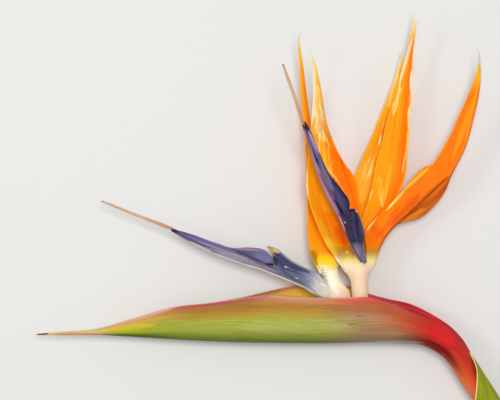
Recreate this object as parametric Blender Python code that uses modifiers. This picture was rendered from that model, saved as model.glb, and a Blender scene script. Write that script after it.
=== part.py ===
"""Bird of paradise flower, cut with a length of stem and laid on its side.

The spathe is a long boat-shaped bract at a right angle to the stem. Two florets stand out of its slit,
each with three sepals, a folded arrow-shaped tongue with its style, and a small hood petal. Three
unopened florets lie inside. Everything lies about a middle plane that is parallel to the surface below:
+X runs from the beak of the spathe to its bend, +Y up along the sepals, and +Z towards the eye above.
"""
import math

import bmesh
import bpy
import numpy as np

MM = 0.001  # metres in a millimetre

# How a guide point is placed. It is the photograph pixel where the point shows, and its height
# above the middle plane in millimetres. The eye hangs straight over the middle of the photograph.
PIXEL_SIZE = 0.44
PHOTO_MIDDLE = (250.0, 200.0)
EYE_HEIGHT = 800.0

# The part's own frame: the middle of the whole flower in plan, and the half thickness it lies on
PLAN_MIDDLE = (28.0, -46.5)
MIDDLE_HEIGHT = 10.0

# Thicknesses and radii, in millimetres
SEPAL_THICKNESS = 0.8
PETAL_THICKNESS = 0.7
STYLE_RADIUS = 0.6
STEM_RADIUS = 4.7
LOWER_STEM_RADIUS = 4.6
STEM_IN_SPATHE_RADIUS = 3.85
NODE_RING_RADIUS = 5.6
NODE_RING_EDGE_RADIUS = 5.2
SHEATH_RADIUS = 5.8
SHEATH_THICKNESS = 0.6

# Fineness of the solids
SEPAL_ROWS = 22
SEPAL_COLUMNS = 6
PETAL_ROWS = 16
PETAL_COLUMNS = 4
SPATHE_ROWS = 42
SPATHE_COLUMNS = 20
SHEATH_ROWS = 20
SHEATH_COLUMNS = 16
STEM_FACET_STEPS = 4
THIN_STALK_FACET_STEPS = 2
STYLE_POINTS = 9
BUD_POINTS = 13

# A blade is a list of stations from its base to its tip. Each station is three guide points:
# one margin, the keel (the line along the middle of the blade) and the other margin.
FRONT_SEPAL_NEAR = [
    ((348.4, 267.4, 2.2), (350, 267.4, -0.9), (355.9, 267.2, -3.3)),
    ((336, 255, 4.8), (347, 255, -1.4), (358, 252, -0.6)),
    ((322, 236, 8), (342.5, 236, -1.4), (362, 235, 2)),
    ((309.5, 203, 9), (335, 205, -1.5), (359.5, 200, 1)),
    ((306.5, 180, 9), (332, 178, -0.8), (353.5, 176, 1)),
    ((307.5, 160, 9.2), (329.5, 160, 0.4), (344.5, 163.5, 2)),
    ((311, 125, 10), (324.5, 125, 3), (330, 128, 5)),
    ((314, 85, 11.2), (318, 85, 8), (319.6, 87, 9)),
    ((311.3, 52.5, 12), (312.2, 52, 11.5), (313.1, 53, 11.9)),
]
FRONT_SEPAL_FAR = [
    ((358, 267.2, -3.5), (363.6, 267.2, -3.2), (368.1, 267.2, -1.6)),
    ((356.5, 250, -4.3), (362.5, 252, -5), (369, 250, -2.6)),
    ((359, 230, -3.8), (367.5, 231, -5.4), (376.5, 231, -2.8)),
    ((371, 190, -2.6), (382, 200, -5), (394, 202, -2)),
    ((376, 165, -2), (390, 172, -4.6), (403.5, 178, -1.3)),
    ((383, 139, -1.6), (395.5, 139, -4.6), (406.2, 142, -1)),
    ((395, 93, -0.8), (402.5, 95, -4), (409.2, 98, -0.7)),
    ((404.5, 59, 0), (408, 60, -2.6), (411.4, 62, 0.1)),
    ((415.7, 13, 2), (416.6, 12, 1.5), (417.5, 13.5, 2.1)),
]
FRONT_SEPAL_BACK = [
    ((366.5, 267.2, 4.4), (369.4, 267.2, 2.2), (369.3, 267.2, -0.6)),
    ((366.6, 250, 4.2), (375, 256, 3), (377, 256, -1)),
    ((365.6, 233, 2.9), (381, 240, 3.8), (384.4, 240.5, -1.8)),
    ((375.6, 218.5, 2), (394, 223.5, 4.3), (396, 225.5, -2)),
    ((399, 195, 2.2), (418, 205, 4.2), (423.5, 216, -2.2)),
    ((418.6, 173, 2.4), (437, 191, 4), (441.5, 197, -1.6)),
    ((432, 166.5, 2.6), (449.5, 174, 3.6), (449.8, 176, -0.8)),
    ((446.8, 141.5, 2.3), (461.5, 149, 3.6), (462.8, 150.5, -0.4)),
    ((458.2, 117.5, 2.7), (471.5, 118, 4), (472, 120, 0.6)),
    ((471, 88, 3.8), (478.4, 87, 4.8), (478.8, 88.5, 2.4)),
    ((478.3, 57.5, 5.1), (479.2, 56.5, 5.4), (480.1, 57.5, 4.8)),
]
REAR_SEPAL_NEAR = [
    ((320.4, 272.1, 2.5), (319.5, 272.3, -0.6), (321.8, 271.7, -2.4)),
    ((316.8, 266.5, 2.5), (322, 266.5, -1.2), (331, 266.5, -1.9)),
    ((312.6, 259, 2.3), (323.5, 259, -1.4), (336.3, 260, -1)),
    ((309.3, 246, 2.1), (322, 246, -1.8), (337.4, 246, -1.6)),
    ((307.6, 213, 1.5), (317, 213, -2.5), (331, 213, -3)),
    ((307.2, 185, 1), (314.5, 185, -2.6), (325, 185, -3.2)),
    ((305.4, 145, 1), (310.5, 145, -2.2), (315, 145, -2.4)),
    ((302.2, 106.5, 1.8), (305.8, 106.5, -1.2), (308, 106.5, -1)),
    ((300, 73, 2.9), (302.2, 73, 0.6), (303.8, 73, 0.9)),
    ((298.3, 41, 4.2), (299.1, 40, 3.7), (300, 41, 4)),
]
REAR_SEPAL_FAR = [
    ((325.4, 270.5, -3.4), (328.5, 269.5, -3.6), (331.7, 268.6, -3.3)),
    ((323.4, 264, -4.7), (327.2, 264, -5.6), (331, 264, -4.7)),
    ((318.5, 245, -5.4), (325, 245, -8.4), (330.5, 245, -6.5)),
    ((315.5, 220, -6), (322.5, 220, -9.2), (329.5, 220, -6.8)),
    ((312.5, 190, -6.2), (320, 190, -9.4), (327.5, 190, -6.9)),
    ((311.5, 150, -6), (317.5, 150, -9.2), (323.5, 150, -6.9)),
    ((313.5, 110, -5.6), (316.5, 110, -8.4), (319.5, 110, -6.6)),
    ((315.5, 88.5, -5.4), (316.4, 87.5, -5.9), (317.3, 88.5, -5.6)),
]
REAR_SEPAL_BACK = [
    ((333.1, 268.3, -2.9), (335.9, 267.5, -1.6), (337, 267.1, 0.3)),
    ((335, 258, -4.4), (338.8, 258, -4.2), (341.5, 258, -2.4)),
    ((338, 240, -5.7), (345, 240, -8), (353.5, 240, -5.7)),
    ((346.5, 200, -6), (359, 200, -9.3), (372, 200, -7.2)),
    ((355, 176, -6), (367, 176, -9.4), (379, 176, -7.2)),
    ((374.8, 130, -6), (382.6, 132, -9.3), (390, 134, -6.6)),
    ((388.8, 95, -5), (393.8, 95, -8.3), (398, 95, -6.4)),
    ((397.9, 68, -4), (400, 68, -6.3), (402, 68, -5.2)),
    ((402.3, 51.8, -3.6), (403.2, 51, -4.2), (404.1, 52, -4)),
]
FRONT_TONGUE = [
    ((356.9, 267.2, 3.2), (358.7, 267.2, 2.2), (360.6, 267.2, 3.2)),
    ((351, 250, 5.2), (353.5, 250, 3.8), (356, 250, 5.2)),
    ((344.6, 231, 7), (348.4, 232, 5.4), (351.8, 232, 7)),
    ((336.5, 215, 8.8), (342.5, 214, 6.9), (348.6, 214.5, 8.8)),
    ((330, 203, 10.8), (336.5, 204, 8.6), (349.6, 203, 10.8)),
    ((323.8, 190, 13), (330, 190, 10.9), (342, 190, 13.4)),
    ((317.6, 175, 15.6), (322.6, 175, 13.6), (330, 175, 16)),
    ((310.6, 150, 20), (313.5, 150, 18.2), (317.2, 151, 20.2)),
    ((303.6, 130, 22.7), (306.4, 130, 21.9), (309.4, 130.5, 22.8)),
    ((301.9, 124, 23.4), (304, 123, 23.1), (306.1, 123.5, 23.4)),
]
FRONT_HOOD = [
    ((357.6, 267.3, 5.3), (360, 267.3, 5.6), (362.4, 267.3, 5.2)),
    ((354.4, 251.2, 8.2), (357.8, 251.2, 9.8), (361.4, 251.2, 8.4)),
    ((348.8, 238.5, 9.6), (355.8, 239, 12), (363.4, 240, 9.4)),
    ((346.4, 231, 10), (355, 231, 12.5), (364.2, 232.5, 9.8)),
    ((346.9, 220.6, 10.6), (354, 220.6, 12.9), (360.7, 220.6, 10.6)),
    ((348, 209.6, 11.3), (352, 208.4, 12.3), (355.6, 209, 11.3)),
]
REAR_TONGUE = [
    ((327.6, 301.5, 2.6), (325.3, 303, 1.5), (327.6, 301.5, 0.4)),
    ((321, 288.5, 3.9), (316.5, 296.6, 2.6), (321, 288.5, 1.3)),
    ((302, 275.5, 4.7), (300, 286, 3.2), (302, 276.5, 1.7)),
    ((286, 266, 5), (284, 278.8, 3.2), (286, 267, 1.4)),
    ((274, 257.5, 5.6), (273, 274.4, 3.2), (274, 258.5, 0.8)),
    ((262, 249.3, 6), (262, 270, 3.2), (262, 250.5, 0.6)),
    ((249, 246.8, 5.8), (249, 266, 3.2), (249, 247.8, 0.8)),
    ((234, 247.2, 5.2), (234, 261.2, 3.2), (234, 248, 1.2)),
    ((215, 242.6, 4.8), (215, 254.2, 3.2), (215, 243.2, 1.6)),
    ((192, 234.3, 4.6), (192, 243, 3.2), (192, 234.6, 1.8)),
    ((171.5, 228.6, 4.4), (171, 231, 3.2), (171.5, 228.6, 2)),
]
REAR_HOOD = [
    ((328, 281.5, 5.2), (325, 286, 5.7), (322.5, 290.5, 5.3)),
    ((315, 272, 5.9), (315.5, 277.5, 7.6), (316, 284, 6.5)),
    ((300, 265, 6.3), (301.5, 270, 8.1), (303, 277, 6.7)),
    ((290, 258, 6.7), (291, 263.5, 8.2), (292, 269.5, 7.1)),
    ((281, 252, 7), (281.5, 256.8, 8.1), (282, 261.5, 7.3)),
    ((271.8, 246.6, 7.1), (270.6, 248, 7.3), (269.6, 249.6, 7.1)),
]

# Each spathe station is the photograph pixel of its keel, its near rim and its far rim, then its half
# width and its wall in millimetres, and how far the wall turns up from the keel to the near and far rim
SPATHE_STATIONS = [
    ((37, 335.2), (37, 333.8), (37, 333.8), 0.45, 0.3, 172, 172),
    ((62, 335.2), (62, 331.8), (62, 331.8), 0.95, 0.6, 174, 174),
    ((97, 334.9), (97, 328.7), (97, 328.7), 1.7, 1.0, 175, 175),
    ((133, 336.8), (133, 318.6), (133, 318.6), 3.3, 1.2, 176, 176),
    ((177, 339.4), (176, 306.8), (176, 306.8), 5.3, 1.2, 176, 176),
    ((212, 341), (212, 302.9), (212, 302.7), 6.9, 1.2, 176, 176),
    ((240, 342.1), (240, 298.5), (240, 297.6), 8.2, 1.2, 172, 173),
    ((271, 342.6), (271, 294.6), (271, 290.6), 9.5, 1.2, 156, 162),
    ((300, 342.9), (300, 296), (299, 285.4), 10.5, 1.2, 138, 145),
    ((335, 343), (335, 296.8), (335, 285.8), 10.6, 1.2, 135, 145),
    ((352, 342.6), (352, 296.2), (352, 286.5), 10.6, 1.2, 136, 146),
    ((368, 342.1), (368, 296.4), (369, 294), 10.3, 1.2, 143, 150),
    ((385, 342.2), (387, 301.6), (388, 299), 9.4, 1.2, 155, 158),
    ((405, 343), (411, 309.8), (412, 304.6), 8.1, 1.2, 165, 165),
    ((421, 344.8), (432, 319), (433, 314.8), 7, 1.1, 170, 170),
    ((434, 350.5), (450.5, 327.6), (451, 326.8), 6.1, 0.9, 174, 174),
    ((444, 358), (461.3, 340.2), (461.5, 340), 5.4, 0.7, 175, 175),
    ((453.6, 371), (471.6, 359.4), (471.6, 359.4), 4.9, 0.6, 176, 176),
    ((462, 384), (480.4, 372.5), (480.4, 372.5), 4.8, 0.6, 176, 176),
    ((473, 400.2), (491.4, 388.9), (491.4, 388.9), 4.8, 0.6, 176, 176),
    ((482, 415), (500.4, 403.8), (500.4, 403.8), 4.8, 0.6, 176, 176),
]

# Each stem station is a guide point on its middle line and a radius in millimetres
STEM_STATIONS = [
    ((322, 324, 0), 3.0),
    ((345, 324, 0), 3.5),
    ((370, 324.3, 0), 3.7),
    ((395, 325.5, 0), STEM_IN_SPATHE_RADIUS),
    ((412, 328.5, 0), STEM_IN_SPATHE_RADIUS),
    ((428, 334, 0), STEM_IN_SPATHE_RADIUS),
    ((442, 341.5, 0), STEM_IN_SPATHE_RADIUS),
    ((453, 350.5, 0), STEM_IN_SPATHE_RADIUS),
    ((462.4, 365.3, 0), STEM_IN_SPATHE_RADIUS),
    ((471.2, 378.3, 0), STEM_IN_SPATHE_RADIUS),
    ((482.2, 394.4, 0), STEM_IN_SPATHE_RADIUS),
    ((492.2, 410.3, 0), STEM_IN_SPATHE_RADIUS),
    ((492.8, 411.3, 0), STEM_RADIUS),
    ((505, 431.5, -0.4), STEM_RADIUS),
    ((527.4, 471.5, -1.7), STEM_RADIUS),
    ((527.7, 472.1, -1.7), NODE_RING_EDGE_RADIUS),
    ((529.3, 475, -1.8), NODE_RING_RADIUS),
    ((530.9, 478, -1.9), NODE_RING_EDGE_RADIUS),
    ((531.4, 479, -1.95), STEM_RADIUS),
    ((542, 502, -2.7), LOWER_STEM_RADIUS),
    ((556, 536, -3.7), LOWER_STEM_RADIUS),
    ((579, 592, -5.4), LOWER_STEM_RADIUS),
]

# The sheath follows the stem. Each station is a point on its middle line, its outer radius, and how far
# it wraps each way round from the outer side of the bend, in degrees
SHEATH_STATIONS = [
    ((460.5, 361, 0), 6.1, 7),
    ((464.5, 367.4, 0), 5.95, 28),
    ((468.2, 373.2, 0), 5.85, 48),
    ((472.9, 380.4, 0), SHEATH_RADIUS, 78),
    ((477.6, 387.4, 0), SHEATH_RADIUS, 107),
    ((482.2, 394.4, 0), SHEATH_RADIUS, 140),
    ((487.4, 402.6, 0), SHEATH_RADIUS, 172),
    ((492.8, 411.3, 0), SHEATH_RADIUS, 176),
    ((505, 431.5, -0.4), SHEATH_RADIUS, 176),
    ((527, 470.8, -1.7), SHEATH_RADIUS, 176),
]

FRONT_TUBE_STATIONS = [
    ((359.6, 315.3, 0.5), 2.4),
    ((359.8, 305, 0.8), 3.1),
    ((359.6, 294, 1), 3.7),
    ((358.9, 280, 1), 4.2),
    ((358.9, 268.4, 1), 5.0),
]
REAR_TUBE_STATIONS = [
    ((343.4, 315.3, 0.5), 2.4),
    ((343, 312, 0.5), 3.0),
    ((338.8, 300, 0.5), 4.2),
    ((334.6, 289, 0.5), 4.2),
    ((331.6, 281.5, 0.5), 4.0),
    ((328.6, 271.1, 0.5), 4.4),
]
FRONT_STYLE_PATH = [(306.4, 131, 23.3), (304, 123, 24.6), (294, 95, 27.4), (283, 64, 30)]
REAR_STYLE_PATH = [(171.1, 228.6, 3.2), (150, 220.3, 3.2), (125, 210.6, 3.1), (101.5, 201, 3)]
BUD_STATIONS = {
    "bud_1": [
        ((320.7, 324, 1.7), 1.0),
        ((290, 322, 3.6), 2.4),
        ((255, 322, 3.2), 2.6),
        ((215, 323, 1.5), 1.9),
        ((178, 324, 0), 0.5),
    ],
    "bud_2": [
        ((320.7, 327.3, -0.85), 1.0),
        ((290, 331.5, -1.8), 2.2),
        ((255, 332, -1.6), 2.4),
        ((215, 331, -1), 1.6),
        ((185, 330, -0.3), 0.5),
    ],
    "bud_3": [
        ((320.7, 320.7, -0.85), 1.0),
        ((290, 313, -2.6), 2.2),
        ((255, 313, -2.4), 2.4),
        ((215, 315, -1.2), 1.5),
        ((190, 317, -0.3), 0.5),
    ],
}

# Colour and roughness of each material
LOOKS = {
    "spathe_skin": ((0.36, 0.22, 0.09), 0.5),
    "stem_green": ((0.22, 0.28, 0.08), 0.45),
    "sheath_green": ((0.28, 0.33, 0.09), 0.45),
    "sepal_orange": ((0.93, 0.25, 0.01), 0.4),
    "claw_white": ((0.85, 0.78, 0.60), 0.45),
    "petal_indigo": ((0.05, 0.04, 0.17), 0.4),
    "style_tan": ((0.62, 0.42, 0.22), 0.6),
    "bud_cream": ((0.80, 0.68, 0.42), 0.5),
}


def placed(point):
    """Return the part's own coordinates, in metres, of a guide point."""
    pixel_x, pixel_y, height = point
    scale = PIXEL_SIZE * (1 - height / EYE_HEIGHT)
    x = (pixel_x - PHOTO_MIDDLE[0]) * scale - PLAN_MIDDLE[0]
    y = (PHOTO_MIDDLE[1] - pixel_y) * scale - PLAN_MIDDLE[1]
    return np.array((x, y, height + MIDDLE_HEIGHT)) * MM


def spline(knots, values, where):
    """Read a smooth curve through values at rising knots: cubic pieces with matching slopes."""
    knots = np.asarray(knots, float)
    values = np.asarray(values, float)
    gaps = np.diff(knots)
    chords = np.diff(values, axis=0) / gaps[:, None]
    slopes = np.empty_like(values)
    slopes[0] = chords[0]
    slopes[-1] = chords[-1]
    before, after = gaps[:-1, None], gaps[1:, None]
    slopes[1:-1] = (chords[:-1] * after + chords[1:] * before) / (before + after)
    piece = int(np.clip(np.searchsorted(knots, where) - 1, 0, len(gaps) - 1))
    t = (where - knots[piece]) / gaps[piece]
    rise = t * t * (3 - 2 * t)
    leave = t * (1 - t) ** 2 * gaps[piece]
    arrive = t * t * (t - 1) * gaps[piece]
    start, end = values[piece], values[piece + 1]
    return start + (end - start) * rise + slopes[piece] * leave + slopes[piece + 1] * arrive


def running_length(points):
    """Return the distance along a row of points, as a share of its whole length."""
    steps = np.linalg.norm(np.diff(points, axis=0), axis=1)
    total = np.concatenate(([0], np.cumsum(steps)))
    return total / total[-1]


def material(name):
    """Make the material that LOOKS describes, or return it if it is already there."""
    found = bpy.data.materials.get(name)
    if found:
        return found
    colour, roughness = LOOKS[name]
    made = bpy.data.materials.new(name)
    made.use_nodes = True
    shader = made.node_tree.nodes["Principled BSDF"]
    shader.inputs["Base Color"].default_value = (*colour, 1)
    shader.inputs["Roughness"].default_value = roughness
    shader.inputs["Metallic"].default_value = 0
    return made


def sheet(collection, name, surface, rows, columns, thickness, offset, look, wall=None):
    """Make a closed shell from surface(s, t), a formula for its face with s and t from 0 to 1.

    wall(s) gives the share of the thickness at s, where the shell thins out.
    """
    mesh = bpy.data.meshes.new(name)
    body = bmesh.new()
    bmesh.ops.create_grid(body, x_segments=rows, y_segments=columns, size=1)
    shares = {}
    for vertex in body.verts:
        s, t = (vertex.co.x + 1) / 2, (vertex.co.y + 1) / 2
        shares[vertex.index] = 1 if wall is None else wall(s)
        vertex.co = surface(s, t)
    body.to_mesh(mesh)
    body.free()
    shell = bpy.data.objects.new(name, mesh)
    collection.objects.link(shell)
    mesh.materials.append(material(look))
    mesh.shade_smooth()
    solidify = shell.modifiers.new("thickness", "SOLIDIFY")
    solidify.thickness = thickness * MM
    solidify.offset = offset
    if wall is not None:
        group = shell.vertex_groups.new(name="wall")
        for index, share in shares.items():
            group.add([index], share, "REPLACE")
        solidify.vertex_group = group.name
    return shell


def blade(collection, name, stations, rows, columns, thickness, look):
    """Make a sepal or petal: a blade arched through its margins and its keel, closed at every edge."""
    guides = np.array([[placed(point) for point in station] for station in stations])
    knots = running_length(guides[:, 1])

    def surface(s, t):
        left, keel, right = spline(knots, guides.reshape(len(guides), 9), s).reshape(3, 3)
        pull = 2 * keel - (left + right) / 2
        return (1 - t) ** 2 * left + 2 * t * (1 - t) * pull + t * t * right

    return sheet(collection, name, surface, rows, columns, thickness, 0, look)


def tube(collection, name, stations, look, facet_steps):
    """Make a round stalk along a middle line: a bevelled curve with a radius at each point."""
    curve = bpy.data.curves.new(name, "CURVE")
    curve.dimensions = "3D"
    curve.bevel_depth = MM
    curve.bevel_resolution = facet_steps
    curve.use_fill_caps = True
    line = curve.splines.new("POLY")
    line.points.add(len(stations) - 1)
    line.use_smooth = True
    for point, (guide, radius) in zip(line.points, stations):
        point.co = (*placed(guide), 1)
        point.radius = radius
    curve.materials.append(material(look))
    stalk = bpy.data.objects.new(name, curve)
    collection.objects.link(stalk)
    return stalk


def smooth_stations(stations, count):
    """Return count stations read from a smooth curve through a few of them, radii included."""
    rows = np.array([(*guide, radius) for guide, radius in stations], float)
    knots = running_length(rows[:, :3])
    read = [spline(knots, rows, where) for where in np.linspace(0, 1, count)]
    return [(tuple(row[:3]), row[3]) for row in read]


def make_spathe(collection):
    """Make the boat-shaped bract: arcs that turn up from a keel to a near and a far rim."""
    knots = running_length(np.array([station[0] for station in SPATHE_STATIONS], float))
    numbers = []
    for keel, near, far, half_width, wall, near_turn, far_turn in SPATHE_STATIONS:
        numbers.append((*keel, *near, *far, half_width, wall, near_turn, far_turn))
    numbers = np.array(numbers, float)
    thickest = numbers[:, 7].max()

    def surface(s, t):
        row = spline(knots, numbers, s)
        keel, near, far = row[0:2], row[2:4], row[4:6]
        half_width, near_turn, far_turn = row[6], math.radians(row[8]), math.radians(row[9])
        turn = -far_turn + t * (near_turn + far_turn)
        rim, full = (near, near_turn) if turn > 0 else (far, far_turn)
        height = max(half_width * math.sin(turn), -MIDDLE_HEIGHT)
        pixel = keel + (rim - keel) * (1 - math.cos(turn)) / (1 - math.cos(full))
        return placed((*pixel, 0)) + np.array((0, 0, height * MM))

    def wall(s):
        return spline(knots, numbers[:, 7:8], s)[0] / thickest

    return sheet(
        collection, "spathe", surface, SPATHE_ROWS, SPATHE_COLUMNS, thickest, -1, "spathe_skin", wall
    )


def make_sheath(collection):
    """Make the green bract that wraps the neck of the stem, from a point down to a closed tube."""
    middles = np.array([placed(guide) for guide, radius, wrap in SHEATH_STATIONS])
    knots = running_length(middles)
    rounds = np.array([(radius, wrap) for guide, radius, wrap in SHEATH_STATIONS], float)
    step = 0.01

    def surface(s, t):
        middle = spline(knots, middles, s)
        along = spline(knots, middles, min(s + step, 1)) - spline(knots, middles, max(s - step, 0))
        along = along / np.linalg.norm(along)
        outward = np.cross((0, 0, 1), along)
        outward = outward / np.linalg.norm(outward)
        upward = np.cross(along, outward)
        radius, wrap = spline(knots, rounds, s)
        turn = math.radians(wrap) * (1 - 2 * t)
        return middle + (outward * math.cos(turn) + upward * math.sin(turn)) * radius * MM

    return sheet(
        collection, "stem_sheath", surface, SHEATH_ROWS, SHEATH_COLUMNS, SHEATH_THICKNESS, -1, "sheath_green"
    )


def make_stalks(collection):
    """Make the stem, the two floret tubes, their styles and the unopened florets."""
    tube(collection, "stem", STEM_STATIONS, "stem_green", STEM_FACET_STEPS)
    tube(collection, "front_tube", FRONT_TUBE_STATIONS, "claw_white", STEM_FACET_STEPS)
    tube(collection, "rear_tube", REAR_TUBE_STATIONS, "claw_white", STEM_FACET_STEPS)
    for name, path in (("front_style", FRONT_STYLE_PATH), ("rear_style", REAR_STYLE_PATH)):
        stations = [(guide, STYLE_RADIUS) for guide in path]
        smoothed = smooth_stations(stations, STYLE_POINTS)
        tube(collection, name, smoothed, "style_tan", THIN_STALK_FACET_STEPS)
    for name, stations in BUD_STATIONS.items():
        smoothed = smooth_stations(stations, BUD_POINTS)
        tube(collection, name, smoothed, "bud_cream", THIN_STALK_FACET_STEPS)


def make_blades(collection):
    """Make the six sepals, the two tongues and the two hood petals."""
    sepals = {
        "front_sepal_near": FRONT_SEPAL_NEAR,
        "front_sepal_far": FRONT_SEPAL_FAR,
        "front_sepal_back": FRONT_SEPAL_BACK,
        "rear_sepal_near": REAR_SEPAL_NEAR,
        "rear_sepal_far": REAR_SEPAL_FAR,
        "rear_sepal_back": REAR_SEPAL_BACK,
    }
    petals = {
        "front_tongue": FRONT_TONGUE,
        "front_hood_petal": FRONT_HOOD,
        "rear_tongue": REAR_TONGUE,
        "rear_hood_petal": REAR_HOOD,
    }
    for name, stations in sepals.items():
        blade(collection, name, stations, SEPAL_ROWS, SEPAL_COLUMNS, SEPAL_THICKNESS, "sepal_orange")
    for name, stations in petals.items():
        blade(collection, name, stations, PETAL_ROWS, PETAL_COLUMNS, PETAL_THICKNESS, "petal_indigo")


def main():
    """Clear the scene and make the flower."""
    for leftover in list(bpy.data.objects):
        bpy.data.objects.remove(leftover)
    collection = bpy.data.collections.new("bird_of_paradise_flower")
    bpy.context.scene.collection.children.link(collection)
    make_spathe(collection)
    make_sheath(collection)
    make_stalks(collection)
    make_blades(collection)


main()
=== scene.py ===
# %% [markdown]
# # Bird of paradise flower
# A cut flower lies on its side: a long beaked bract, called the spathe, at a right angle to its stem,
# and two open florets of orange sepals and violet petals that stand out of the slit along its top.
# The solids of the flower are loaded first. They say where each piece is, and each piece made here
# stands for one of them.

import math

import bpy
import numpy as np
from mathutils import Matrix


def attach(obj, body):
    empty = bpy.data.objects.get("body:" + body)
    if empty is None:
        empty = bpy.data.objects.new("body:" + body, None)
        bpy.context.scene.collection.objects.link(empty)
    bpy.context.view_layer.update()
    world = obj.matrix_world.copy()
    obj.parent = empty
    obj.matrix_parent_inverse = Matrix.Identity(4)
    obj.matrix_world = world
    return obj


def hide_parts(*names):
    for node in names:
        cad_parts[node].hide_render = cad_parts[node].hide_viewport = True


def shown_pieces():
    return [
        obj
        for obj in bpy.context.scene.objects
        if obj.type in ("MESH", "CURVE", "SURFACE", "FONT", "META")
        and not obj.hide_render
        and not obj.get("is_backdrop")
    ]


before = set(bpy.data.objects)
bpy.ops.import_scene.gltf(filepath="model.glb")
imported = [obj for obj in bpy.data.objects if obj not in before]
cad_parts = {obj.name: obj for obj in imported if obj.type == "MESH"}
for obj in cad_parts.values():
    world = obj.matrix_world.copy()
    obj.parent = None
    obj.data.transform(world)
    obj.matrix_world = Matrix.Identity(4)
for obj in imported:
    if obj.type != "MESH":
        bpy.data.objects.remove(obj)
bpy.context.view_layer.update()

# %% [markdown]
# ## Guide points
# Every shape below is led by a few guide points. A guide point is the place in the photograph where the
# point shows, in pixels, and its height above the flower's middle plane in millimetres. The eye hangs
# straight over the middle of the photograph, so a point is found by going back along its line of sight.
# Typing coordinates in metres would work too, but these can be checked against the picture by eye.

# %% Turn guide points into metres
MM = 0.001
# In millimetres: a pixel's size on the middle plane, the eye's height over that plane, and the plane's
# own height over the floor
PIXEL_SIZE = 0.44
EYE_HEIGHT = 800.0
MIDDLE_HEIGHT = 10.0
# The picture's middle in pixels, and how far from it the flower's own middle lies, in millimetres
PHOTO_MIDDLE = (250.0, 200.0)
PLAN_MIDDLE = (28.0, -46.5)


def placed(guides):
    """Metres of guide points: pixels from the middle, times the pixel's size at that height."""
    guides = np.asarray(guides, float)
    size = PIXEL_SIZE * (1 - guides[..., 2] / EYE_HEIGHT)
    x = (guides[..., 0] - PHOTO_MIDDLE[0]) * size - PLAN_MIDDLE[0]
    y = (PHOTO_MIDDLE[1] - guides[..., 1]) * size - PLAN_MIDDLE[1]
    return np.stack((x, y, guides[..., 2] + MIDDLE_HEIGHT), axis=-1) * MM


def running_share(points):
    """Distance along a row of points, as a share of its whole length."""
    steps = np.linalg.norm(np.diff(points, axis=0), axis=1)
    total = np.concatenate(([0], np.cumsum(steps)))
    return total / total[-1]


def smooth_rows(knots, values, where):
    """Rows of values read along a smooth curve.

    Between two knots the curve is the cubic that starts and ends with the mean slope of its neighbours.
    """
    values = np.asarray(values, float)
    gaps = np.diff(knots)
    chords = np.diff(values, axis=0) / gaps[:, None]
    slopes = np.concatenate((chords[:1], chords))
    before, after = gaps[:-1, None], gaps[1:, None]
    slopes[1:-1] = (chords[:-1] * after + chords[1:] * before) / (before + after)
    piece = np.clip(np.searchsorted(knots, where) - 1, 0, len(gaps) - 1)
    t = ((where - knots[piece]) / gaps[piece])[:, None]
    gap = gaps[piece][:, None]
    start, end = values[piece], values[piece + 1]
    leave, arrive = slopes[piece] * gap, slopes[piece + 1] * gap
    return start + (end - start) * t * t * (3 - 2 * t) + leave * t * (1 - t) ** 2 + arrive * t * t * (t - 1)


def eased(value, low, high):
    """0 below low, 1 above high, and a soft S between them: 3x squared less 2x cubed."""
    x = np.clip((value - low) / (high - low), 0, 1)
    return x * x * (3 - 2 * x)


def wander(s, t, seed, waves=7, pace_s=6.0, pace_t=2.0):
    """Soft uneven relief from -1 to 1: the mean of a few sine waves with drawn paces and phases."""
    draw = np.random.default_rng(seed)
    total = np.zeros(np.broadcast(s, t).shape)
    for _ in range(waves):
        turn = draw.uniform(-pace_s, pace_s) * s + draw.uniform(-pace_t, pace_t) * t
        total += np.sin(2 * np.pi * (turn + draw.uniform()))
    return total / waves


# %% [markdown]
# ## Camera, floor and light
# The flower lies on a pale floor, and the camera looks straight down on it, as the photograph looks
# straight at it. The lens is long, because the camera hangs 80 cm away. Two broad lamps and a pale sky
# light it softly. Small lamps would give hard shadows that hide the relief of the petals.

# %% Camera
FRAME_WIDTH = 500
SENSOR_WIDTH = 36.0

camera = bpy.data.cameras.new("overhead_camera")
camera.sensor_width = SENSOR_WIDTH
camera.lens = SENSOR_WIDTH * EYE_HEIGHT / (FRAME_WIDTH * PIXEL_SIZE)
camera.clip_start = 0.05
camera.clip_end = 20.0
eye = bpy.data.objects.new("overhead_camera", camera)
eye.location = (-PLAN_MIDDLE[0] * MM, -PLAN_MIDDLE[1] * MM, (EYE_HEIGHT + MIDDLE_HEIGHT) * MM)
bpy.context.scene.collection.objects.link(eye)
bpy.context.scene.camera = eye
bpy.context.scene.view_settings.view_transform = "Standard"
print("lens in mm:", round(camera.lens, 1))

# %% Lamps and sky
# Each lamp: its place and its width in metres, its power in watts, and its colour
SKY_LIGHT = 0.5
LAMPS = {
    "key_lamp": ((0.05, 0.15, 0.85), 0.3, 4.0, (1.0, 0.98, 0.95)),
    "side_lamp": ((-0.46, 0.1, 0.42), 0.16, 0.5, (0.97, 0.98, 1.0)),
}

world = bpy.data.worlds.new("pale_sky")
world.use_nodes = True
world.node_tree.nodes["Background"].inputs["Color"].default_value = (1.0, 1.0, 1.0, 1.0)
world.node_tree.nodes["Background"].inputs["Strength"].default_value = SKY_LIGHT
bpy.context.scene.world = world
for lamp_name, (place, size, power, tint) in LAMPS.items():
    lamp = bpy.data.lights.new(lamp_name, "AREA")
    lamp.shape = "DISK"
    lamp.size = size
    lamp.energy = power
    lamp.color = tint
    stand = bpy.data.objects.new(lamp_name, lamp)
    stand.location = place
    aim = np.array((0.0, 0.02, 0.0)) - np.array(place)
    stand.rotation_euler = (math.atan2(math.hypot(aim[0], aim[1]), -aim[2]), 0, math.atan2(-aim[0], aim[1]))
    bpy.context.scene.collection.objects.link(stand)


# %% Floor
FLOOR_HALF = 9.0
FLOOR_DROP = 0.0002

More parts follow.
